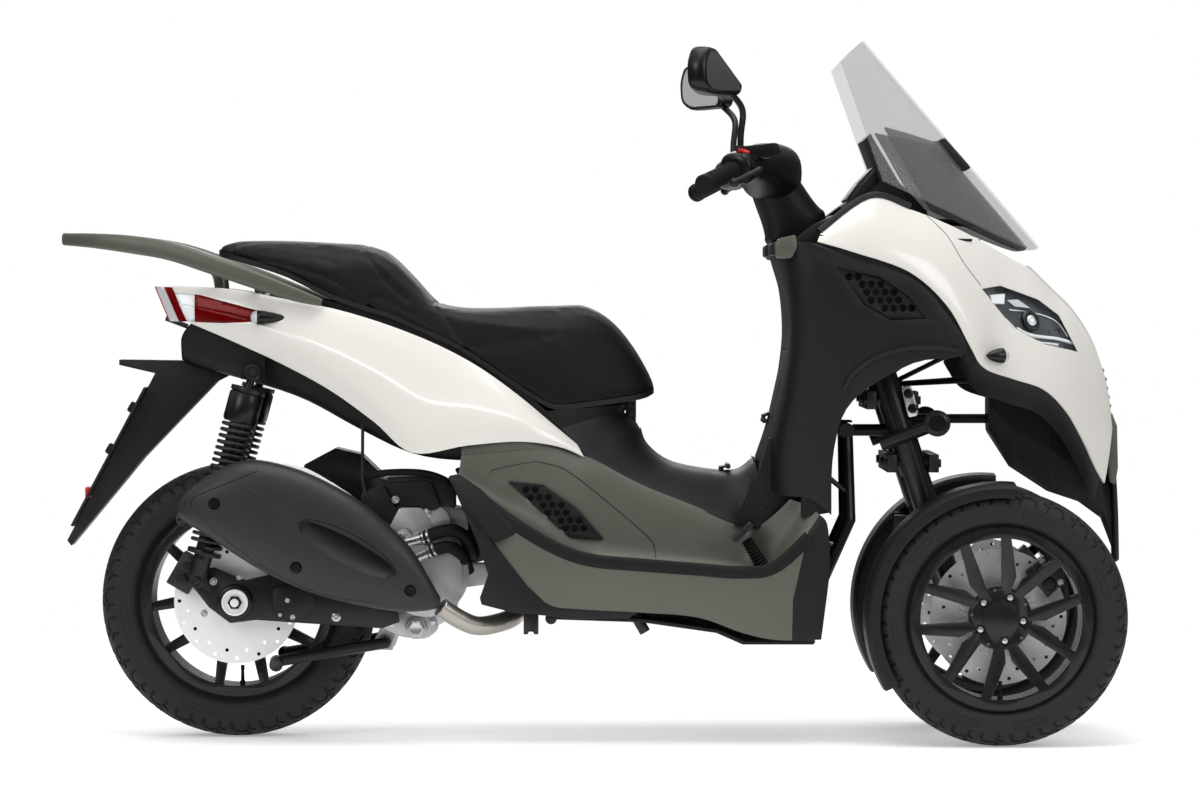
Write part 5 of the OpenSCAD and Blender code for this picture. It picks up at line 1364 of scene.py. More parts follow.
piece("silencer_screws", screws, smooth_black, "chassis")
piece("silencer_seam", seam, hose_rubber, "chassis")
can, outlet = new_shapes(2)
add_tube(can, spline([(-622, -190, 486), (-600, -190, 491), (-560, -190, 484), (-520, -190, 463),
                      (-470, -190, 432), (-430, -196, 400)], 4),
         [22, 30, 38, 42, 43, 43, 43, 43, 43, 43, 43, 43, 43, 43, 42, 42, 41, 40, 36, 30, 20], 32)
piece("silencer_can", can, brushed_steel, "chassis", sharp=50)
add_turned(outlet, (-758, -232, 434), (-36, 0, -13), [(12.5, -10), (12.5, 24), (11, 25), (9.5, 24), (9.5, 4)],
           32)
piece("silencer_outlet", outlet, smooth_black, "chassis")
print("silencer made")

# %% [markdown]
# The rail behind the seat is one thick blade that runs round the tail, with a small plate for a top
# box. The bar cover is a moulded hood over the handlebar with a neck round the steering column. Both
# are skins through rings, as on the silencer.

# %% Rail and bar cover
RAIL = [
    (-512, -162, 836, 5, 7), (-560, -166, 851, 10, 13), (-640, -166, 880, 15, 17), (-720, -160, 908, 18, 18),
    (-800, -148, 934, 17, 18), (-880, -134, 947, 14, 17), (-950, -112, 954, 11, 14), (-999, -72, 957, 9, 12),
    (-1012, -24, 958, 8, 12)]
RAIL_LEGS = [[(-724, -152, 906), (-716, -88, 884), (-712, -80, 846.5)],
             [(-644, -160, 880), (-640, -100, 872), (-636, -94, 853.5)]]
BAR_TOP = np.array((336, 0, 1093))
BAR_AXIS = np.array((0.454, 0, -0.891))
BAR_FORE = np.array((0.891, 0, 0.454))
BAR_COVER = [
    (-214, 296, 1095, 24, 21), (-190, 306, 1098, 32, 29), (-150, 320, 1099, 41, 37),
    (-100, 334, 1095, 50, 46), (-50, 344, 1088, 56, 53), (0, 348, 1086, 58, 55)]
BAR_NECK = [(16, 44, 58), (50, 49, 58), (90, 54, 56), (112, 59, 54), (126, 64, 52), (150, 56, 48)]

rail = new_shape()
half = spline(RAIL, 5)
rail_path = [s[:3] for s in half] + [s[:3] * (1, -1, 1) for s in reversed(half)]
rail_size = [s[3:] for s in half] + [s[3:] for s in reversed(half)]
rail_rows = []
for i, p in enumerate(rail_path):
    t = unit(rail_path[min(i + 1, len(rail_path) - 1)] - rail_path[max(i - 1, 0)])
    u = unit(np.cross((0, 0, 1), t))
    v = np.cross(t, u)
    rail_rows.append([p + rail_size[i][0] * c * u + rail_size[i][1] * s * v for c, s in power_ring(28, 0.62)])
add_rows(rail, rail_rows)
plate = rounded_outline([(-958, -104), (-958, 104), (-848, 104), (-848, -104)], 12)
add_rows(rail, [[(x, y, z) for x, y in plate] for z in (943, 951)])
for x in (-936, -870):
    for y in (-60, 60):
        add_turned(rail, (x, y, 950.5), (0, 0, 1), [(10, 0), (10, 2.5), (9, 3.2), (4.6, 3.2), (4.6, 0.4)], 20)
for leg, radius in zip(RAIL_LEGS, (8, 7)):
    for side in (1, -1):
        add_tube(rail, spline([np.array(p) * (1, side, 1) for p in leg], 6), radius, 14)
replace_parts(piece("rail_blade", rail, satin_grey_green, "chassis", sharp=42), "grab_rail")

cover = new_shape()
stations = BAR_COVER + [(-y, x, z, hx, hz) for y, x, z, hx, hz in reversed(BAR_COVER[:-1])]
add_rows(cover, spline([np.array([(x - hx * c, y, z + hz * s) for c, s in power_ring(36, 0.8)])
                        for y, x, z, hx, hz in stations], 5))
add_rows(cover, spline([np.array([BAR_TOP + d * BAR_AXIS + a * c * BAR_FORE + np.array((0, b * s, 0))
                                  for c, s in power_ring(36, 0.8)]) for d, a, b in BAR_NECK], 5))
add_turned(cover, BAR_TOP, BAR_AXIS, [(38, 120), (38, 150)], 32)
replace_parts(piece("bar_hood", cover, grained_black, body_of("bar_cover"), sharp=48),
            "bar_cover")
print("rail points:", len(rail[0]), "hood points:", len(cover[0]))

# %% [markdown]
# The mirrors are rounded triangles on thin bent stems. The shell's outline shrinks from ring to ring
# towards its back, where a grey panel is let in. The glass lies in the open side. The left mirror is
# the right one's image.

# %% Mirrors
MIRROR_MID = np.array((218.0, -332.0, 1268.0))
MIRROR_TURN = math.radians(34)
MIRROR_BACK = np.array((math.cos(MIRROR_TURN), -math.sin(MIRROR_TURN), 0))
MIRROR_ACROSS = np.array((math.sin(MIRROR_TURN), math.cos(MIRROR_TURN), 0))
MIRROR_OUTLINE = [(-62, 42), (-36, 44), (70, -30), (62, -46), (-40, -48), (-74, -32), (-78, 12)]
MIRROR_RINGS = [(0.84, 3), (0.88, 0), (0.95, 1), (0.99, 5), (1.0, 12), (0.99, 22), (0.95, 31), (0.89, 36),
                (0.82, 37), (0.8, 34)]
mirror_line = rounded_outline(MIRROR_OUTLINE, 16, 5)


def mirror_ring(share, depth):
    return [MIRROR_MID + depth * MIRROR_BACK + a * share * MIRROR_ACROSS + np.array((0, 0, b * share))
            for a, b in mirror_line]


mirror, glass, inset, stems = new_shapes(4)
add_rows(mirror, [mirror_ring(*ring) for ring in MIRROR_RINGS])
add_rows(glass, [mirror_ring(0.85, d) for d in (0.8, 3.5)])
add_rows(inset, [mirror_ring(0.81, 33), mirror_ring(0.81, 35.6), mirror_ring(0.77, 36.4)])
add_tube(stems, spline([(280, -240, 1098), (281, -247, 1150), (284, -262, 1196), (264, -300, 1224),
                        (242, -340, 1244)], 6), 6.2, 14)
add_turned(stems, (280, -240, 1096), (0.02, -0.12, 1), [(15, 0), (15, 8), (12, 14), (9, 22), (8, 36)], 24)
add_turned(stems, (246, -334, 1240), (-4, -6, 20), [(9, -4), (12, 4), (12, 14)], 20)
handles = body_of("mirrors")
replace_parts(piece("mirror_shells", mirror, smooth_black, handles, both=True, sharp=45),
            "mirrors")
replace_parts(piece("mirror_faces", glass, mirror_silver, handles, both=True), "mirror_glass")
piece("mirror_insets", inset, panel_grey, handles, both=True)
piece("mirror_stems", stems, satin_black_paint, handles, both=True, sharp=45)
print("mirrors made")

# %% [markdown]
# At each end of the bar sits a switch housing, between the hood and the rubber grip. The right one
# carries the red stop switch. A flat reservoir for the brake fluid stands on top of it.

# %% Controls on the bar
GRIP_INNER = np.array((270.0, -256.0, 1086.0))
GRIP_OUTER = np.array((208.3, -365.0, 1055.2))
GRIP_AXIS = unit(GRIP_OUTER - GRIP_INNER)
GRIP_UP = unit(np.array((0, 0, 1)) - GRIP_AXIS * GRIP_AXIS[2])
GRIP_FORE = np.cross(GRIP_UP, GRIP_AXIS) * -1

pod, reservoir, keys, red_key, ribs = new_shapes(5)
pod_rows = []
for reach, size in ((-50, 20), (-46, 25), (-36, 29), (-16, 31), (-4, 30), (1, 26)):
    middle = GRIP_INNER + GRIP_AXIS * reach
    pod_rows.append([middle + size * (1.06 * c * GRIP_FORE + s * GRIP_UP) for c, s in power_ring(32, 0.75)])
add_rows(pod, spline([np.array(row) for row in pod_rows], 4))
reservoir_line = rounded_outline([(276, 1113), (282, 1130), (344, 1137), (352, 1135), (360, 1120),
                                  (338, 1106)], 6)
add_plate(reservoir, reservoir_line, -246, -204)


def add_key(shape, reach, around, size):
    """A small rounded key on the switch housing."""
    a = math.radians(around)
    out = math.cos(a) * GRIP_FORE + math.sin(a) * GRIP_UP
    side = np.cross(out, GRIP_AXIS)
    foot = GRIP_INNER + GRIP_AXIS * reach + out * 27
    add_rows(shape, [[foot + out * h + GRIP_AXIS * x + side * y for x, y in
                      rounded_outline([(-size[0], -size[1]), (size[0], -size[1]), (size[0], size[1]),
                                       (-size[0], size[1])], 2)]
                     for h in (0, size[2])])


add_key(red_key, -20, 112, (5, 11, 9))
add_key(keys, -32, 150, (5, 6, 7))
add_key(keys, -16, 168, (5, 6, 8))
add_key(keys, -24, 200, (6, 5, 6))
for k in range(16):
    spot = GRIP_INNER + GRIP_AXIS * (16 + 6.2 * k)
    add_turned(ribs, spot, GRIP_AXIS, [(16.4, -1.6), (17.7, -0.8), (17.7, 0.8), (16.4, 1.6)], 36)
add_turned(ribs, GRIP_OUTER - GRIP_AXIS * 3, GRIP_AXIS, [(18.4, -6), (18.4, 2), (17, 3), (11, 3)], 32)
handles = body_of("grips")
piece("switch_housings", pod, smooth_black, handles, both=True, sharp=50)
piece("fluid_reservoirs", reservoir, smooth_black, handles, round_by=3, both=True)
piece("stop_switch", red_key, red_plastic, handles, round_by=1)
piece("switch_keys", keys, grained_black, handles, round_by=1, both=True)
piece("grip_ribs", ribs, grip_rubber, handles, both=True)
print("controls made")

# %% [markdown]
# The floor's outer edge carries a thick rubber strip. Behind it the passenger's footrest is folded
# against the panel, above a black lower panel that closes the rear corner. The front corner of the
# floor moulding is black too: it is cut off along a slanting line and coloured like the shield.

# %% Floor trim
FRONT_CORNER = [(377.5, 150), (380, 276), (409, 404), (438, 446), (438, 520), (520, 520), (520, 150)]
STRIP_SECTION = [(-13, -4), (-13, 0.6), (-10, 2.6), (-2, 4.0), (6, 3.8), (10.5, 2), (12, -1), (11, -7),
                 (2, -9)]
REAR_CORNER = [(-262, 500), (-250, 492), (-181, 378), (-149, 339), (-120, 302), (-86, 272), (16, 266),
               (90, 254), (71, 241),
               (-27, 240), (-149, 252), (-207, 267), (-210, 280), (-194, 325), (-218, 392), (-258, 482)]
FOOTREST = [(-272, 508), (-250, 513), (-205, 482), (-140, 411), (-143, 400), (-181, 382), (-239, 450)]
ACCESS_SEAM = [(-192, 513), (-181, 521), (-113, 534), (-86, 531), (-48, 518), (15, 470), (90, 407),
               (117, 379), (122, 352)]


def rear_depth(z):
    """How far out the rear edge of the floor moulding lies at a height."""
    return float(np.interp(z, [240, 290, 372, 499, 520], [236, 240, 240, 216, 208]))


def add_bent_plate(shape, outline, low, high):
    """A plate that follows the rear edge of the floor moulding; low and high lift it outwards."""
    add_rows(shape, [[(x, -rear_depth(z) - lift, z) for x, z in outline] for lift in (low, high)])


floor_moulding = bpy.data.objects["floor_mouldings"]
floor_skin = skin_of(floor_moulding)
strip, rear_corner, footrest, seam = new_shapes(4)
edge = [row[11] for row in floor_rows[1:-2]]
add_strip(strip, edge, [(0, -1, 0)] * len(edge), STRIP_SECTION)
add_bent_plate(rear_corner, REAR_CORNER, -8, 1.5)
add_bent_plate(footrest, rounded_outline(FOOTREST, 7), -2, 9)
add_bent_plate(footrest, rounded_outline(shrunk(FOOTREST, 9), 7), 8, 12)
add_tube(seam, [p for p, n in line_on(floor_skin, ACCESS_SEAM, 8)], 0.9, 6)
piece("floor_strips", strip, hose_rubber, "chassis", both=True, sharp=50)
piece("rear_corner_panels", rear_corner, grained_black, "chassis", round_by=2, both=True)
piece("folded_footrests", footrest, grained_black, "chassis", round_by=2, both=True)
piece("access_seams", seam, smooth_black, "chassis", both=True)
panel("floor_corners", floor_rows, grained_black, "floor_panels",
      cutters=[prism(FRONT_CORNER, -330, -20)], both=True, keep="INTERSECT", stands=False)
carve(floor_moulding, [prism(FRONT_CORNER, -330, -20), prism(FRONT_CORNER, 20, 330)])
resharpen(floor_moulding, satin_grey_green, 40)

# The dark plates behind the vents are painted shade: they stand for the shaded inside of the body seen
# through the grilles.
backs = new_shape()


def add_turned_plate(shape, outline, low, high, turn, about):
    """A plate whose outline is turned about an upright line, as the vents are."""
    c, s = math.cos(turn), math.sin(turn)
    add_rows(shape, [[(about[0] + (x - about[0]) * c - y * s, about[1] + (x - about[0]) * s + y * c, z)
                      for x, z in outline]
                     for y in (low, high)])


add_turned_plate(backs, REAR_VENT, 9, 11, rear_vent_turn, (-66, -184))
add_turned_plate(backs, FRONT_VENT, 12, 14, front_vent_turn, (457, -HALF_SHIELD + 1))
piece("vent_shade_plates", backs, hose_rubber, "chassis", both=True)
print("floor trim made")

# %% [markdown]
# Inside the headlamp a dark grey housing lies behind the clear lens. It holds a projector, two rows of
# light strips and a white patch. The tail lamp has a bright reflector behind its red lens, and a
# clear end. Bullet lamps with clear caps are the indicators.

# %% Lamps
PROJECTOR = (833, 800)
LIGHT_STRIPS = [([(805, 787), (835, 773), (887, 766), (919, 757)], 3.4),
                ([(784, 805), (812, 777), (838, 763), (887, 755)], 2.2),
                ([(913, 784), (929, 750)], 2.4), ([(790, 822), (850, 813), (887, 798), (908, 770)], 1.6)]
LAMP_PATCHES = [[(751, 849), (781, 851), (779, 832), (755, 834)],
                [(785, 839), (807, 840), (832, 823), (800, 827)]]
TAIL_SPLIT = -757


def inwards(rows, by):
    """The rows of a right-side panel moved towards the middle plane."""
    return [[np.asarray(p) + (0, by, 0) for p in row] for row in rows]


def add_patch(shape, tree, outline, low, high):
    """A thin plate that follows a surface under a side-view outline."""
    add_rows(shape, [[on_side(tree, x, z, lift)[0] for x, z in outline] for lift in (low, high)])


housing = panel("headlamp_housings", inwards(fairing_rows, 20), housing_grey, "headlamps",
                thick=2,
                cutters=[prism(shrunk(HEADLAMP, -7), -330, -20)], both=True, keep="INTERSECT", stands=False)
lamp_skin = skin_of(housing)
bright, white_parts, ring = new_shapes(3)
place, normal = on_side(lamp_skin, *PROJECTOR)
add_turned(ring, place, normal, [(21, -4), (21, 5), (18, 8), (14, 8), (13, 3)], 36)
add_turned(bright, place, normal, [(13, 2), (12.4, 6), (10, 9.5), (6, 12), (1, 13)], 36)
for line, radius in LIGHT_STRIPS:
    add_tube(white_parts if radius > 2 else bright, [p for p, n in line_on(lamp_skin, line, 8, 2)], radius, 8)
add_patch(white_parts, lamp_skin, LAMP_PATCHES[0], -1, 5)
add_patch(bright, lamp_skin, LAMP_PATCHES[1], -1, 5)
piece("lamp_rings", ring, smooth_black, "chassis", both=True)
piece("lamp_reflectors", bright, lamp_chrome, "chassis", both=True)
piece("lamp_strips", white_parts, lamp_white, "chassis", both=True)

red_part = [(TAIL_SPLIT, 852), (-748, 851), (-604, 813), (-598, 801), (-700, 797), (TAIL_SPLIT, 798.5)]
clear_part = [(-830, 860), (TAIL_SPLIT - 2, 852.4), (TAIL_SPLIT - 2, 798.6), (-830, 801)]
panel("tail_reflectors", inwards(side_rows, 13), tail_chrome, "tail_lamps", thick=2,
      cutters=[prism(shrunk(red_part, -4), -300, -20)], both=True, keep="INTERSECT", stands=False)
panel("tail_clear_ends", side_rows, clear_lens, "tail_lamps", thick=5,
      cutters=[prism(clear_part, -300, -20)], both=True, keep="INTERSECT", stands=False)
panel("tail_white_backs", inwards(side_rows, 9), lamp_white, "tail_lamps", thick=2,
      cutters=[prism(shrunk(clear_part, -4), -300, -20)], both=True, keep="INTERSECT", stands=False)
print("lamps made")

# %% [markdown]
# The indicators are black cones that lie along the body, each closed by a small clear cap. The front
# one points backwards under the headlamp; the rear one points forwards at the tip of the tail lamp.

# %% Indicators
FRONT_CONE = [(2, -34), (7, -28), (11.5, -18), (14, -8), (15, 0), (14, 1)]
FRONT_CAP = [(13.5, 0), (13, 5), (9.5, 10), (4, 12.5), (1, 13)]
side_panels_skin = skin_of(bpy.data.objects["painted_side_panels"])
fairing_skin = skin_of(bpy.data.objects["painted_fairing"])
cones, caps = new_shapes(2)
FRONT_LAMP, REAR_LAMP = (771, 735), (-634, 806)
spot, normal = on_side(fairing_skin, *FRONT_LAMP)
ahead = unit(on_side(fairing_skin, FRONT_LAMP[0] + 20, FRONT_LAMP[1])[0] - spot)
add_turned(cones, spot + 9 * normal, ahead, FRONT_CONE, 28)
add_turned(caps, spot + 9 * normal, ahead, FRONT_CAP, 28)
add_turned(cones, spot - 6 * normal, normal, [(12, 0), (10, 10)], 20)
spot, normal = on_side(side_panels_skin, REAR_LAMP[0] + 40, REAR_LAMP[1])
behind = np.array((-1, -0.12, 0.02))
spot = spot + np.array((-40, 4, 0))
add_turned(cones, spot + 8 * normal, behind, [(1, -56), (6, -46), (10, -30), (13, -12), (14, 0), (13, 1)], 28)
add_turned(caps, spot + 8 * normal, behind, [(12.6, 0), (12, 5), (8.6, 10), (4, 12), (1, 12.4)], 28)
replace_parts(piece("indicator_cones", cones, smooth_black, "chassis", both=True, sharp=50),
            "indicators")
piece("indicator_caps", caps, indicator_clear, "chassis", both=True, sharp=50)
print("indicators made")

# %% [markdown]
# A black band runs along the upper edge of the fairing up to the instrument hood, whose screen faces
# the rider. A fine seam divides the fairing above the headlamp. The shield ends in a grey-green block
# at the top and has a raised lip over the wheel arch.

# %% Trim at the front
HOOD = [(484, 1022), (513, 1062), (543, 1094), (556, 1078), (547, 1050), (540, 1010), (500, 1004)]
HOOD_SCREEN = [(489, 1030), (514, 1064), (541, 1093), (538, 1095), (511, 1067), (486, 1033)]
FAIRING_SEAM = [(634, 1000), (672, 962), (701, 913), (735, 868)]
SHIELD_BLOCK = [(345, 920), (345, 946), (352, 957), (384, 964), (388, 940), (376, 918)]
ARCH_LIP = [(474, 676), (487, 700), (514, 723), (544, 739), (601, 753), (658, 753), (690, 748)]
SCREEN_CLAMP = [(662, 1146), (676, 1152), (727, 1094), (712, 1086), (680, 1112)]

band, hood, hood_glass, seam, block_shape, lip, clamp = new_shapes(7)
edge_line = [row[-1] for row in fairing_rows[:13]]
add_strip(band, [p + (0, 1, 3) for p in edge_line], [(0, -1, 0.3)] * len(edge_line),
          [(-3, -6), (-3, 2), (5, 3), (9, 1), (9, -8)])
add_plate(hood, HOOD, -104, 104)
add_plate(hood_glass, HOOD_SCREEN, -92, 92)
add_tube(seam, [p for p, n in line_on(fairing_skin, FAIRING_SEAM, 8)], 0.8, 6)
add_plate(block_shape, SHIELD_BLOCK, -276, -236)
shield_skin = skin_of(bpy.data.objects["leg_shield_moulding"])
lip_line = line_on(shield_skin, ARCH_LIP, 8)
add_strip(lip, [p for p, n in lip_line], [n for p, n in lip_line],
          [(-9, -2), (-7, 2), (-2, 4.5), (2, 4.5), (3.5, 2), (4, -2)])
add_plate(clamp, SCREEN_CLAMP, -84, -52)
piece("fairing_bands", band, grained_black, "chassis", both=True, sharp=45)
piece("instrument_hood", hood, grained_black, "chassis", round_by=5)
piece("instrument_screen", hood_glass, panel_grey, "chassis", round_by=0.8)
piece("fairing_seams", seam, panel_grey, "chassis", both=True)
piece("shield_blocks", block_shape, satin_grey_green, "chassis", round_by=6, both=True)
piece("arch_lips", lip, grained_black, "chassis", both=True, sharp=50)
piece("screen_clamps", clamp, grained_black, "chassis", round_by=4, both=True)
print("front trim made")

# %% [markdown]
# Down the middle of the nose black slats let air in, and a grey-green frame stands below them. A dark
# filler closes the gap between the tunnel, the shield and the floor.

# %% Nose and fillers
NOSE_FRAME = [(984, 634), (1002, 622), (1011, 599), (1013, 520), (1008, 486), (996, 490), (990, 557)]
FILLER = [(270, 415), (318, 512), (338, 580), (420, 580), (446, 470), (430, 436), (340, 404)]
slats, nose_frame, filler = new_shapes(3)
for k in range(5):
    z = 704 - 17 * k
    x = float(np.interp(z, [604, 692, 764], [1006, 991, 966])) - 6
    add_tube(slats, spline([(x - 9, -40, z - 3), (x + 2, -20, z), (x + 4, 0, z + 1), (x + 2, 20, z),
                            (x - 9, 40, z - 3)], 3),
             5.2, 10)
add_plate(nose_frame, NOSE_FRAME, -47, -34)
piece("nose_slats", slats, smooth_black, "chassis")
piece("nose_frames", nose_frame, satin_grey_green, "chassis", round_by=3, both=True)
add_plate(filler, FILLER, -172, 172)
add_plate(filler, [(396, 430), (396, 468), (446, 476), (452, 440)], -226, 226)
piece("tunnel_filler", filler, hose_rubber, "chassis", round_by=2)
print("nose made")

# %% [markdown]
# The fuel flap and the glove flap turn on small hinges. Each flap has a knuckle round its pin, and a
# bent ear joins the knuckle to the flap. They move with the flaps.

# %% Flap hinges
FUEL_PIN, GLOVE_PIN = (263, 521), (332.6, 609)
FUEL_EAR = [(-17, -10), (-8, -10), (-8, -3.5), (0, -3.5), (0, 2), (-17, -1)]
GLOVE_EAR = [(-4, 0), (3, 0), (3, 8.5), (12, 8.5), (12, 17), (-4, 11)]
for word, pin, ear, node in (("fuel", FUEL_PIN, FUEL_EAR, "fuel_lid"),
                             ("glove", GLOVE_PIN, GLOVE_EAR, "glove_lid")):
    hinge = new_shape()
    add_turned(hinge, (pin[0], -30, pin[1]), (0, 1, 0), [(5, 0), (5, 60)], 24)
    add_plate(hinge, [(pin[0] + a, pin[1] + b) for a, b in ear], -26, 26)
    piece(word + "_flap_hinge", hinge, satin_black_paint, body_of(node), round_by=0.6)
print("flap hinges made")

# %% [markdown]
# The engine's right side is full of small parts. Black covers close the air filter. A light cast cover
# carries two alloy stubs, from which short moulded hoses lead to the cylinder, held by bright clamps.
# Below, a large nut closes the case. Bolts are one piece, as on the wheels.

# %% Engine fittings
FILTER_COVERS = [[(-444, 446), (-430, 477), (-397, 490), (-372, 442), (-372, 418), (-386, 404)],
                 [(-393, 492), (-306, 496), (-286, 448), (-306, 437), (-321, 447), (-364, 447), (-374, 458)]]
CAST_COVER = [(-366, 446), (-322, 446), (-306, 417), (-298, 393), (-281, 342), (-279, 307), (-292, 288),
              (-340, 296), (-392, 330), (-392, 396)]
LOWER_CASE = [(-408, 238), (-384, 246), (-300, 240), (-292, 210), (-316, 192), (-362, 196), (-398, 210)]
HOSES = [([(-360, -116, 377), (-321, -128, 388)],
          [(-324, -128, 387), (-286, -134, 400), (-259, -130, 401), (-240, -116, 386), (-232, -96, 364),
           (-226, -74, 352)]),
         ([(-344, -116, 345), (-309, -128, 361)],
          [(-312, -128, 360), (-276, -132, 370), (-254, -124, 362), (-242, -106, 342), (-236, -90, 322)])]
covers, cast, stubs, clamps, hoses, bolts = new_shapes(6)
add_plate(covers, rounded_outline(FILTER_COVERS[0], 8), -112, -98)
add_plate(covers, rounded_outline(FILTER_COVERS[1], 8), -118, -98)
add_plate(cast, rounded_outline(CAST_COVER, 10), -113, -88)
add_turned(cast, (-357, -113, 389), (0, -1, 0), [(17, -2), (16, 8), (14, 9)], 28)
add_plate(cast, rounded_outline(LOWER_CASE, 10), -100, -66)
add_turned(cast, (-335, -100, 214), (0, -1, 0), [(22, -2), (21, 12), (19.5, 14)], 32)
add_turned(bolts, (-335, -114, 214), (0, -1, 0), [(17, 0), (17, 9), (15, 11), (12, 11), (11.4, 8)], 6)
for x, z, y, r in ((-357, 389, -122, 7), (-384, 223, -100, 5.5), (-304, 226, -100, 4.5), (-374, 460, -118, 5),
                   (-300, 300, -113, 5), (-310, 432, -113, 4.5), (-386, 352, -113, 5)):
    add_bolt(bolts, (x, y, z), (0, -1, 0), r, 5)
for stub, hose in HOSES:
    along = unit(np.subtract(stub[1], stub[0]))
    add_tube(stubs, [np.array(stub[0]) - 8 * along, stub[0], stub[1]], [12.5, 10, 10], 24)
    add_tube(hoses, spline(hose, 6), 12.2, 20)
    for step in (6, 16):
        add_turned(clamps, np.array(hose[0]) + along * step, along,
                   [(12.6, -2.6), (13.6, -2), (13.6, 2), (12.6, 2.6)], 28)
add_tube(hoses,
         spline([(-436, -100, 488), (-420, -108, 506), (-376, -110, 512), (-318, -108, 510), (-276, -96, 494),
                        (-262, -70, 470)], 6), 6.5, 14)
hanger = new_shape()
add_tube(hanger, [(-437, -100, 645), (-437, -116, 500), (-432, -114, 468)], 3.2, 10)
add_turned(hanger, (-432, -112, 466), (0, -1, 0), [(8, 0), (8, 4), (3, 5)], 20)
piece("filter_covers", covers, grained_black, "chassis", round_by=3)
piece("cast_covers", cast, cast_alloy, "chassis", round_by=2.5)
piece("hose_stubs", stubs, zinc, "chassis")
piece("hose_clamps", clamps, zinc, "chassis")
piece("engine_hoses", hoses, hose_rubber, "chassis", sharp=50)
piece("engine_bolts", bolts, zinc, "chassis", round_by=0.3)
piece("filter_hanger", hanger, satin_black_paint, "chassis")
print("engine fittings made")

# %% [markdown]
# The last small parts: the ribbed rubber boot of the brake pedal, the two-bolt bracket and the end cap
# on the tilt linkage, brackets under the floor, and the reflector with two rubber buffers on the
# plate holder.

# %% Small fittings
PEDAL_LOW, PEDAL_HIGH = np.array((326, -205, 334)), np.array((288, -205, 398))
PEDAL_PAD = [(307, 415), (299, 423), (265, 389), (273, 381)]
BRACKET = [(588, 676), (608, 680), (622, 622), (602, 617)]
boot, pad, bracket, dark_bolts, under, buffers, reflector = new_shapes(7)
add_plate(pad, rounded_outline(PEDAL_PAD, 4), -233, -177)
steps = 19
add_tube(boot, [mix(PEDAL_LOW, PEDAL_HIGH, 0.08 + 0.76 * k / (steps - 1)) for k in range(steps)],
         [(15 if k % 2 else 11.5) - 3 * k / steps for k in range(steps)], 20)
add_plate(bracket, rounded_outline(BRACKET, 7), -163, -155)
for x, z in ((602, 663), (610, 635)):
    add_bolt(dark_bolts, (x, -163, z), (0, -1, 0), 6.5, 5)
add_turned(dark_bolts, (656, -182, 607), (0, -1, 0),
           [(20, -1), (20, 2), (17, 3.5), (14, 3.5), (13, 1.5), (8, 1.5)], 36)
add_plate(under, [(-128, 250), (-100, 250), (-100, 209), (-108, 209), (-110, 214), (-118, 214), (-120, 209),
                  (-128, 209)],
          -214, -186)
add_turned(under, (-76, -214, 239), (0, 1, 0), [(11, 0), (11, 10), (9, 11)], 24)
add_tube(under, [(78, -196, 254), (102, -196, 212)], 10.5, 20)
holder_skin = skin_of(bpy.data.objects["plate_holder_finished"])
for z in (632, 552):
    hit, normal, _, _ = holder_skin.ray_cast(Vector((-1.2, -0.03, z * 0.001)), Vector((1, 0, 0)))
    add_turned(buffers, np.array(hit) * 1000, (-0.85, 0, 0.5), [(11, -4), (11, 8), (9, 11)], 20)
hit, normal, _, _ = holder_skin.ray_cast(Vector((-1.2, -0.03, 0.471)), Vector((1, 0, 0)))
hit = np.array(hit) * 1000
add_rows(reflector,
         [[hit + (-d, y, a) for y, a in rounded_outline([(-24, -10), (24, -10), (24, 10), (-24, 10)], 3)]
                     for d in (-3, 7)])
piece("pedal_boot", boot, hose_rubber, "chassis", sharp=60)
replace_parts(piece("pedal_pad", pad, satin_black_paint, "chassis", round_by=2), "brake_pedal")
piece("tilt_brackets", bracket, zinc, "chassis", round_by=1.5, both=True)
piece("tilt_bolts", dark_bolts, smooth_black, "chassis", both=True)
piece("floor_brackets", under, satin_black_paint, "chassis", round_by=1)
piece("plate_buffers", buffers, hose_rubber, "chassis")
piece("plate_reflector", reflector, red_plastic, "chassis", round_by=1)
print("small fittings made")

# %% [markdown]
# Between the large panels lie joints that close the view into the body: a band behind the seam of
# shield and fairing, a skirt inside the wheel arch, a band and a riser under the seat, a lip on the
# floor panel, a tray under the instruments, and a cowl on both sides of the steering column that
# leaves room for it to turn. At the tail a lens wraps round to the rear cover.

# %% Joints between panels
COWL = [(338, 925), (338, 947), (352, 953), (384, 956), (420, 983), (468, 1006), (486, 1008), (486, 950),
        (424, 922)]
COWL_INNER, COWL_OUTER = 76, 232
TRAY_HALF = [(484, 260), (560, 256), (650, 228), (720, 180), (745, 80)]
TRAY_HEIGHTS = (952, 957)
JOINT_SECTION = [(-20, -1), (-20, 1), (14, 1), (14, -1)]


def beside(line, *offsets):
    """Rows of points beside a line, each moved by its own offset."""
    return [[p + offset for offset in offsets] for p in line]


joint, cowl, tray = new_shapes(3)
joint_line = [row[0] + (0, 7, 0) for row in fairing_rows[:28]]
add_strip(joint, joint_line, [(0, -1, 0)] * len(joint_line), JOINT_SECTION)
add_plate(cowl, COWL, -COWL_OUTER, -COWL_INNER)
piece("shield_joints", joint, hose_rubber, "chassis", both=True)
piece("column_cowls", cowl, grained_black, "chassis", round_by=4, both=True)
tray_outline = [(x, -y) for x, y in TRAY_HALF] + list(reversed(TRAY_HALF))
add_rows(tray, [[np.array((x, y, z)) for x, y in tray_outline] for z in TRAY_HEIGHTS])
piece("dash_tray", tray, grained_black, "chassis", round_by=1)
skirt_rows = [[p + (0, 6, 5), p + (-5, 12 - 0.03 * p[1], -16), p + (-12, 22 - 0.1 * p[1], -44)]
              for p in (row[0] for row in fairing_rows[23:64])]
panel("wheel_arch_skirts", skirt_rows, grained_black, "fairing_sides", thick=3, both=True,
      stands=False)
under_seat = beside([row[-1] for row in side_rows[10:52]], (0, 14, -22), (0, 13, 0), (2, 14, 13))
panel("seat_bands", under_seat, hose_rubber, "side_panels", thick=3, both=True, stands=False)
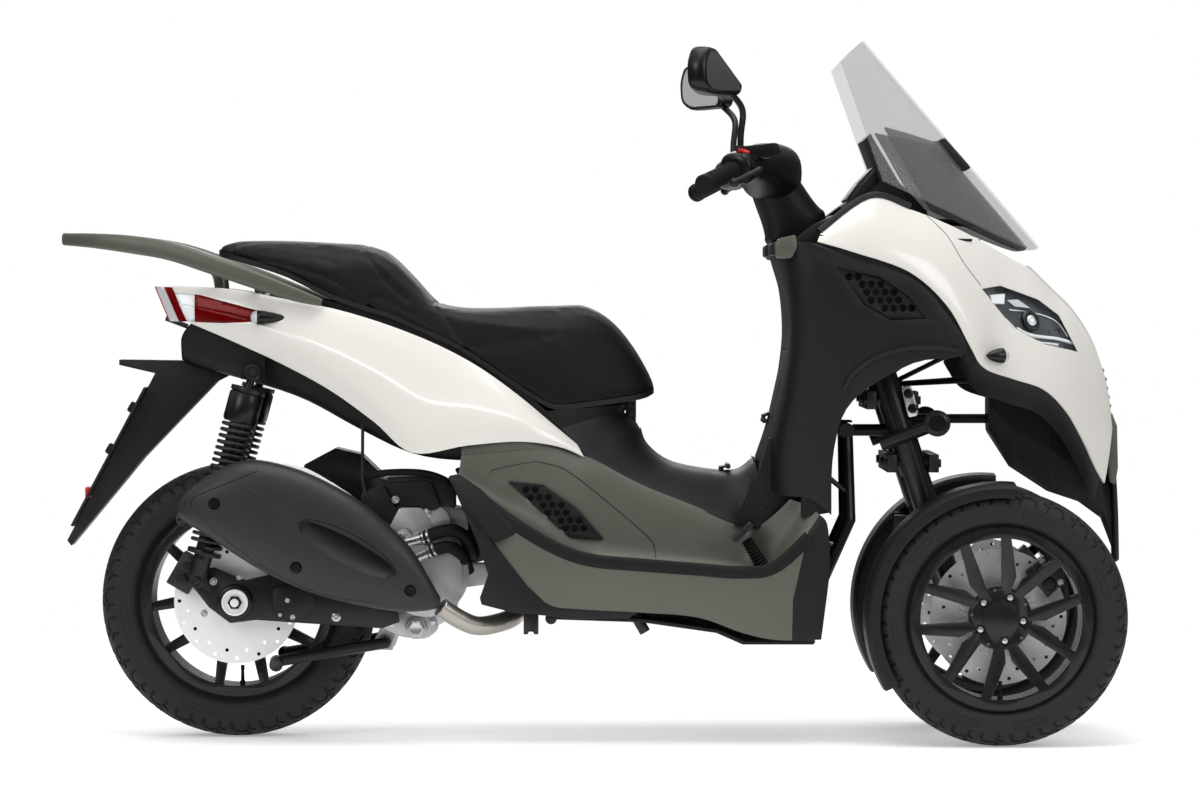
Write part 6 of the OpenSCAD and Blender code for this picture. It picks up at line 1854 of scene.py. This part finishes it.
lip_rows = beside([row[-1] for row in floor_rows[:9]], (0, 1, -4), (0, 4, 14), (0, 8, 30))
lip_rows += beside([row[-1] for row in floor_rows[9:34]], (0, -0.5, -4), (0, 2.5, 5), (0, 6, 13))
panel("floor_lips", lip_rows, satin_grey_green, "floor_panels", thick=2.5, both=True,
      stands=False)
tunnel_edge = [np.array(p, float) for p in [(-110, -150, 598), *tunnel_rows[0], (-110, 150, 598)]]
riser_rows = []
for t in (0, 0.3, 0.65, 1):
    riser_rows.append([np.array((x - 3 + 13 * t, y * 0.97, mix(z - 10, 638 + 0.088 * x, t)))
                       for x, y, z in tunnel_edge])
panel("seat_riser", riser_rows, grained_black, "tunnel_cover", thick=3, stands=False)

TAIL_LOW, TAIL_HIGH = 800, 866
TAIL_LOW_X, TAIL_HIGH_X = -806, -833.7
TAIL_HALF, TAIL_SWELL, TAIL_BOW = 88, 4, 8
TAIL_LEVELS = [k / 6 for k in range(7)]


def tail_row(t, first, last):
    """A level line of the lens that wraps round the tail, between two shares of its length."""
    z = mix(TAIL_LOW, TAIL_HIGH, t)
    low_x, _, high_x, _, low_half, high_half = SIDE_STATIONS[0]
    start = np.array((mix(low_x, high_x, t), -mix(low_half, high_half, t), z))
    end = np.array((mix(TAIL_LOW_X, TAIL_HIGH_X, t), -TAIL_HALF, z))
    out = np.array((-0.4, -0.9, 0)) * TAIL_SWELL
    return [mix(start, end, s) + out * math.sin(math.pi * s) for s in np.linspace(first, last, 5)]


for name, material, slot, first, last in (("tail_red_wraps", red_lens, "red_lens", 0.0, 0.42),
                                          ("tail_clear_wraps", indicator_clear, "clear_lens", 0.44, 1.0)):
    panel(name, [tail_row(t, first, last) for t in TAIL_LEVELS], material, "tail_lamps", thick=3,
          both=True, stands=False)
tail_lens = [[np.array((mix(TAIL_LOW_X, TAIL_HIGH_X, t) - TAIL_BOW * (1 - v * v), TAIL_HALF * v,
                        mix(TAIL_LOW, TAIL_HIGH, t))) for v in np.linspace(-1, 1, 15)] for t in TAIL_LEVELS]
panel("tail_lens", tail_lens, red_plastic, "tail_cover", thick=4)
stud = new_shape()
add_tube(stud, [(-822, 0, 806), (-779.6, 0, 790)], 5, 16)
piece("tail_stud", stud, satin_black_paint, "chassis")
print("joints closed")

# %% [markdown]
# Each rear shock has a close black spring round it, under a smooth sleeve. The spring is a helix, so a
# loop places its points.

# %% Rear springs
SHOCK_LOW, SHOCK_TOP = np.array((-751.0, -140.0, 308.0)), np.array((-644.0, -140.0, 704.0))
SPRING_START, SPRING_END, SLEEVE_END = 66, 318, 372
SPRING_TURNS, SPRING_RADIUS, WIRE = 21, 29.0, 3.9
TURN_STEPS = 16
rise_axis = unit(SHOCK_TOP - SHOCK_LOW)
spring_u, spring_v = side_vectors(rise_axis)
spring, sleeve = new_shapes(2)
coil = []
for k in range(SPRING_TURNS * TURN_STEPS + 1):
    a = 2 * math.pi * k / TURN_STEPS
    height = mix(SPRING_START, SPRING_END, k / (SPRING_TURNS * TURN_STEPS))
    aside = SPRING_RADIUS * (math.cos(a) * spring_u + math.sin(a) * spring_v)
    coil.append(SHOCK_LOW + rise_axis * height + aside)
add_tube(spring, coil, WIRE, 8)
add_turned(sleeve, SHOCK_LOW, rise_axis,
           [(30, SPRING_END - 8), (33, SPRING_END - 2), (33, SLEEVE_END - 8), (28, SLEEVE_END)], 36)
add_turned(sleeve, SHOCK_LOW, rise_axis, [(18, 40), (18, SPRING_END)], 24)
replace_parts(piece("shock_springs", spring, satin_black_paint, "chassis", both=True, sharp=60),
            "rear_springs")
piece("shock_sleeves", sleeve, smooth_black, "chassis", both=True)
print("springs made")
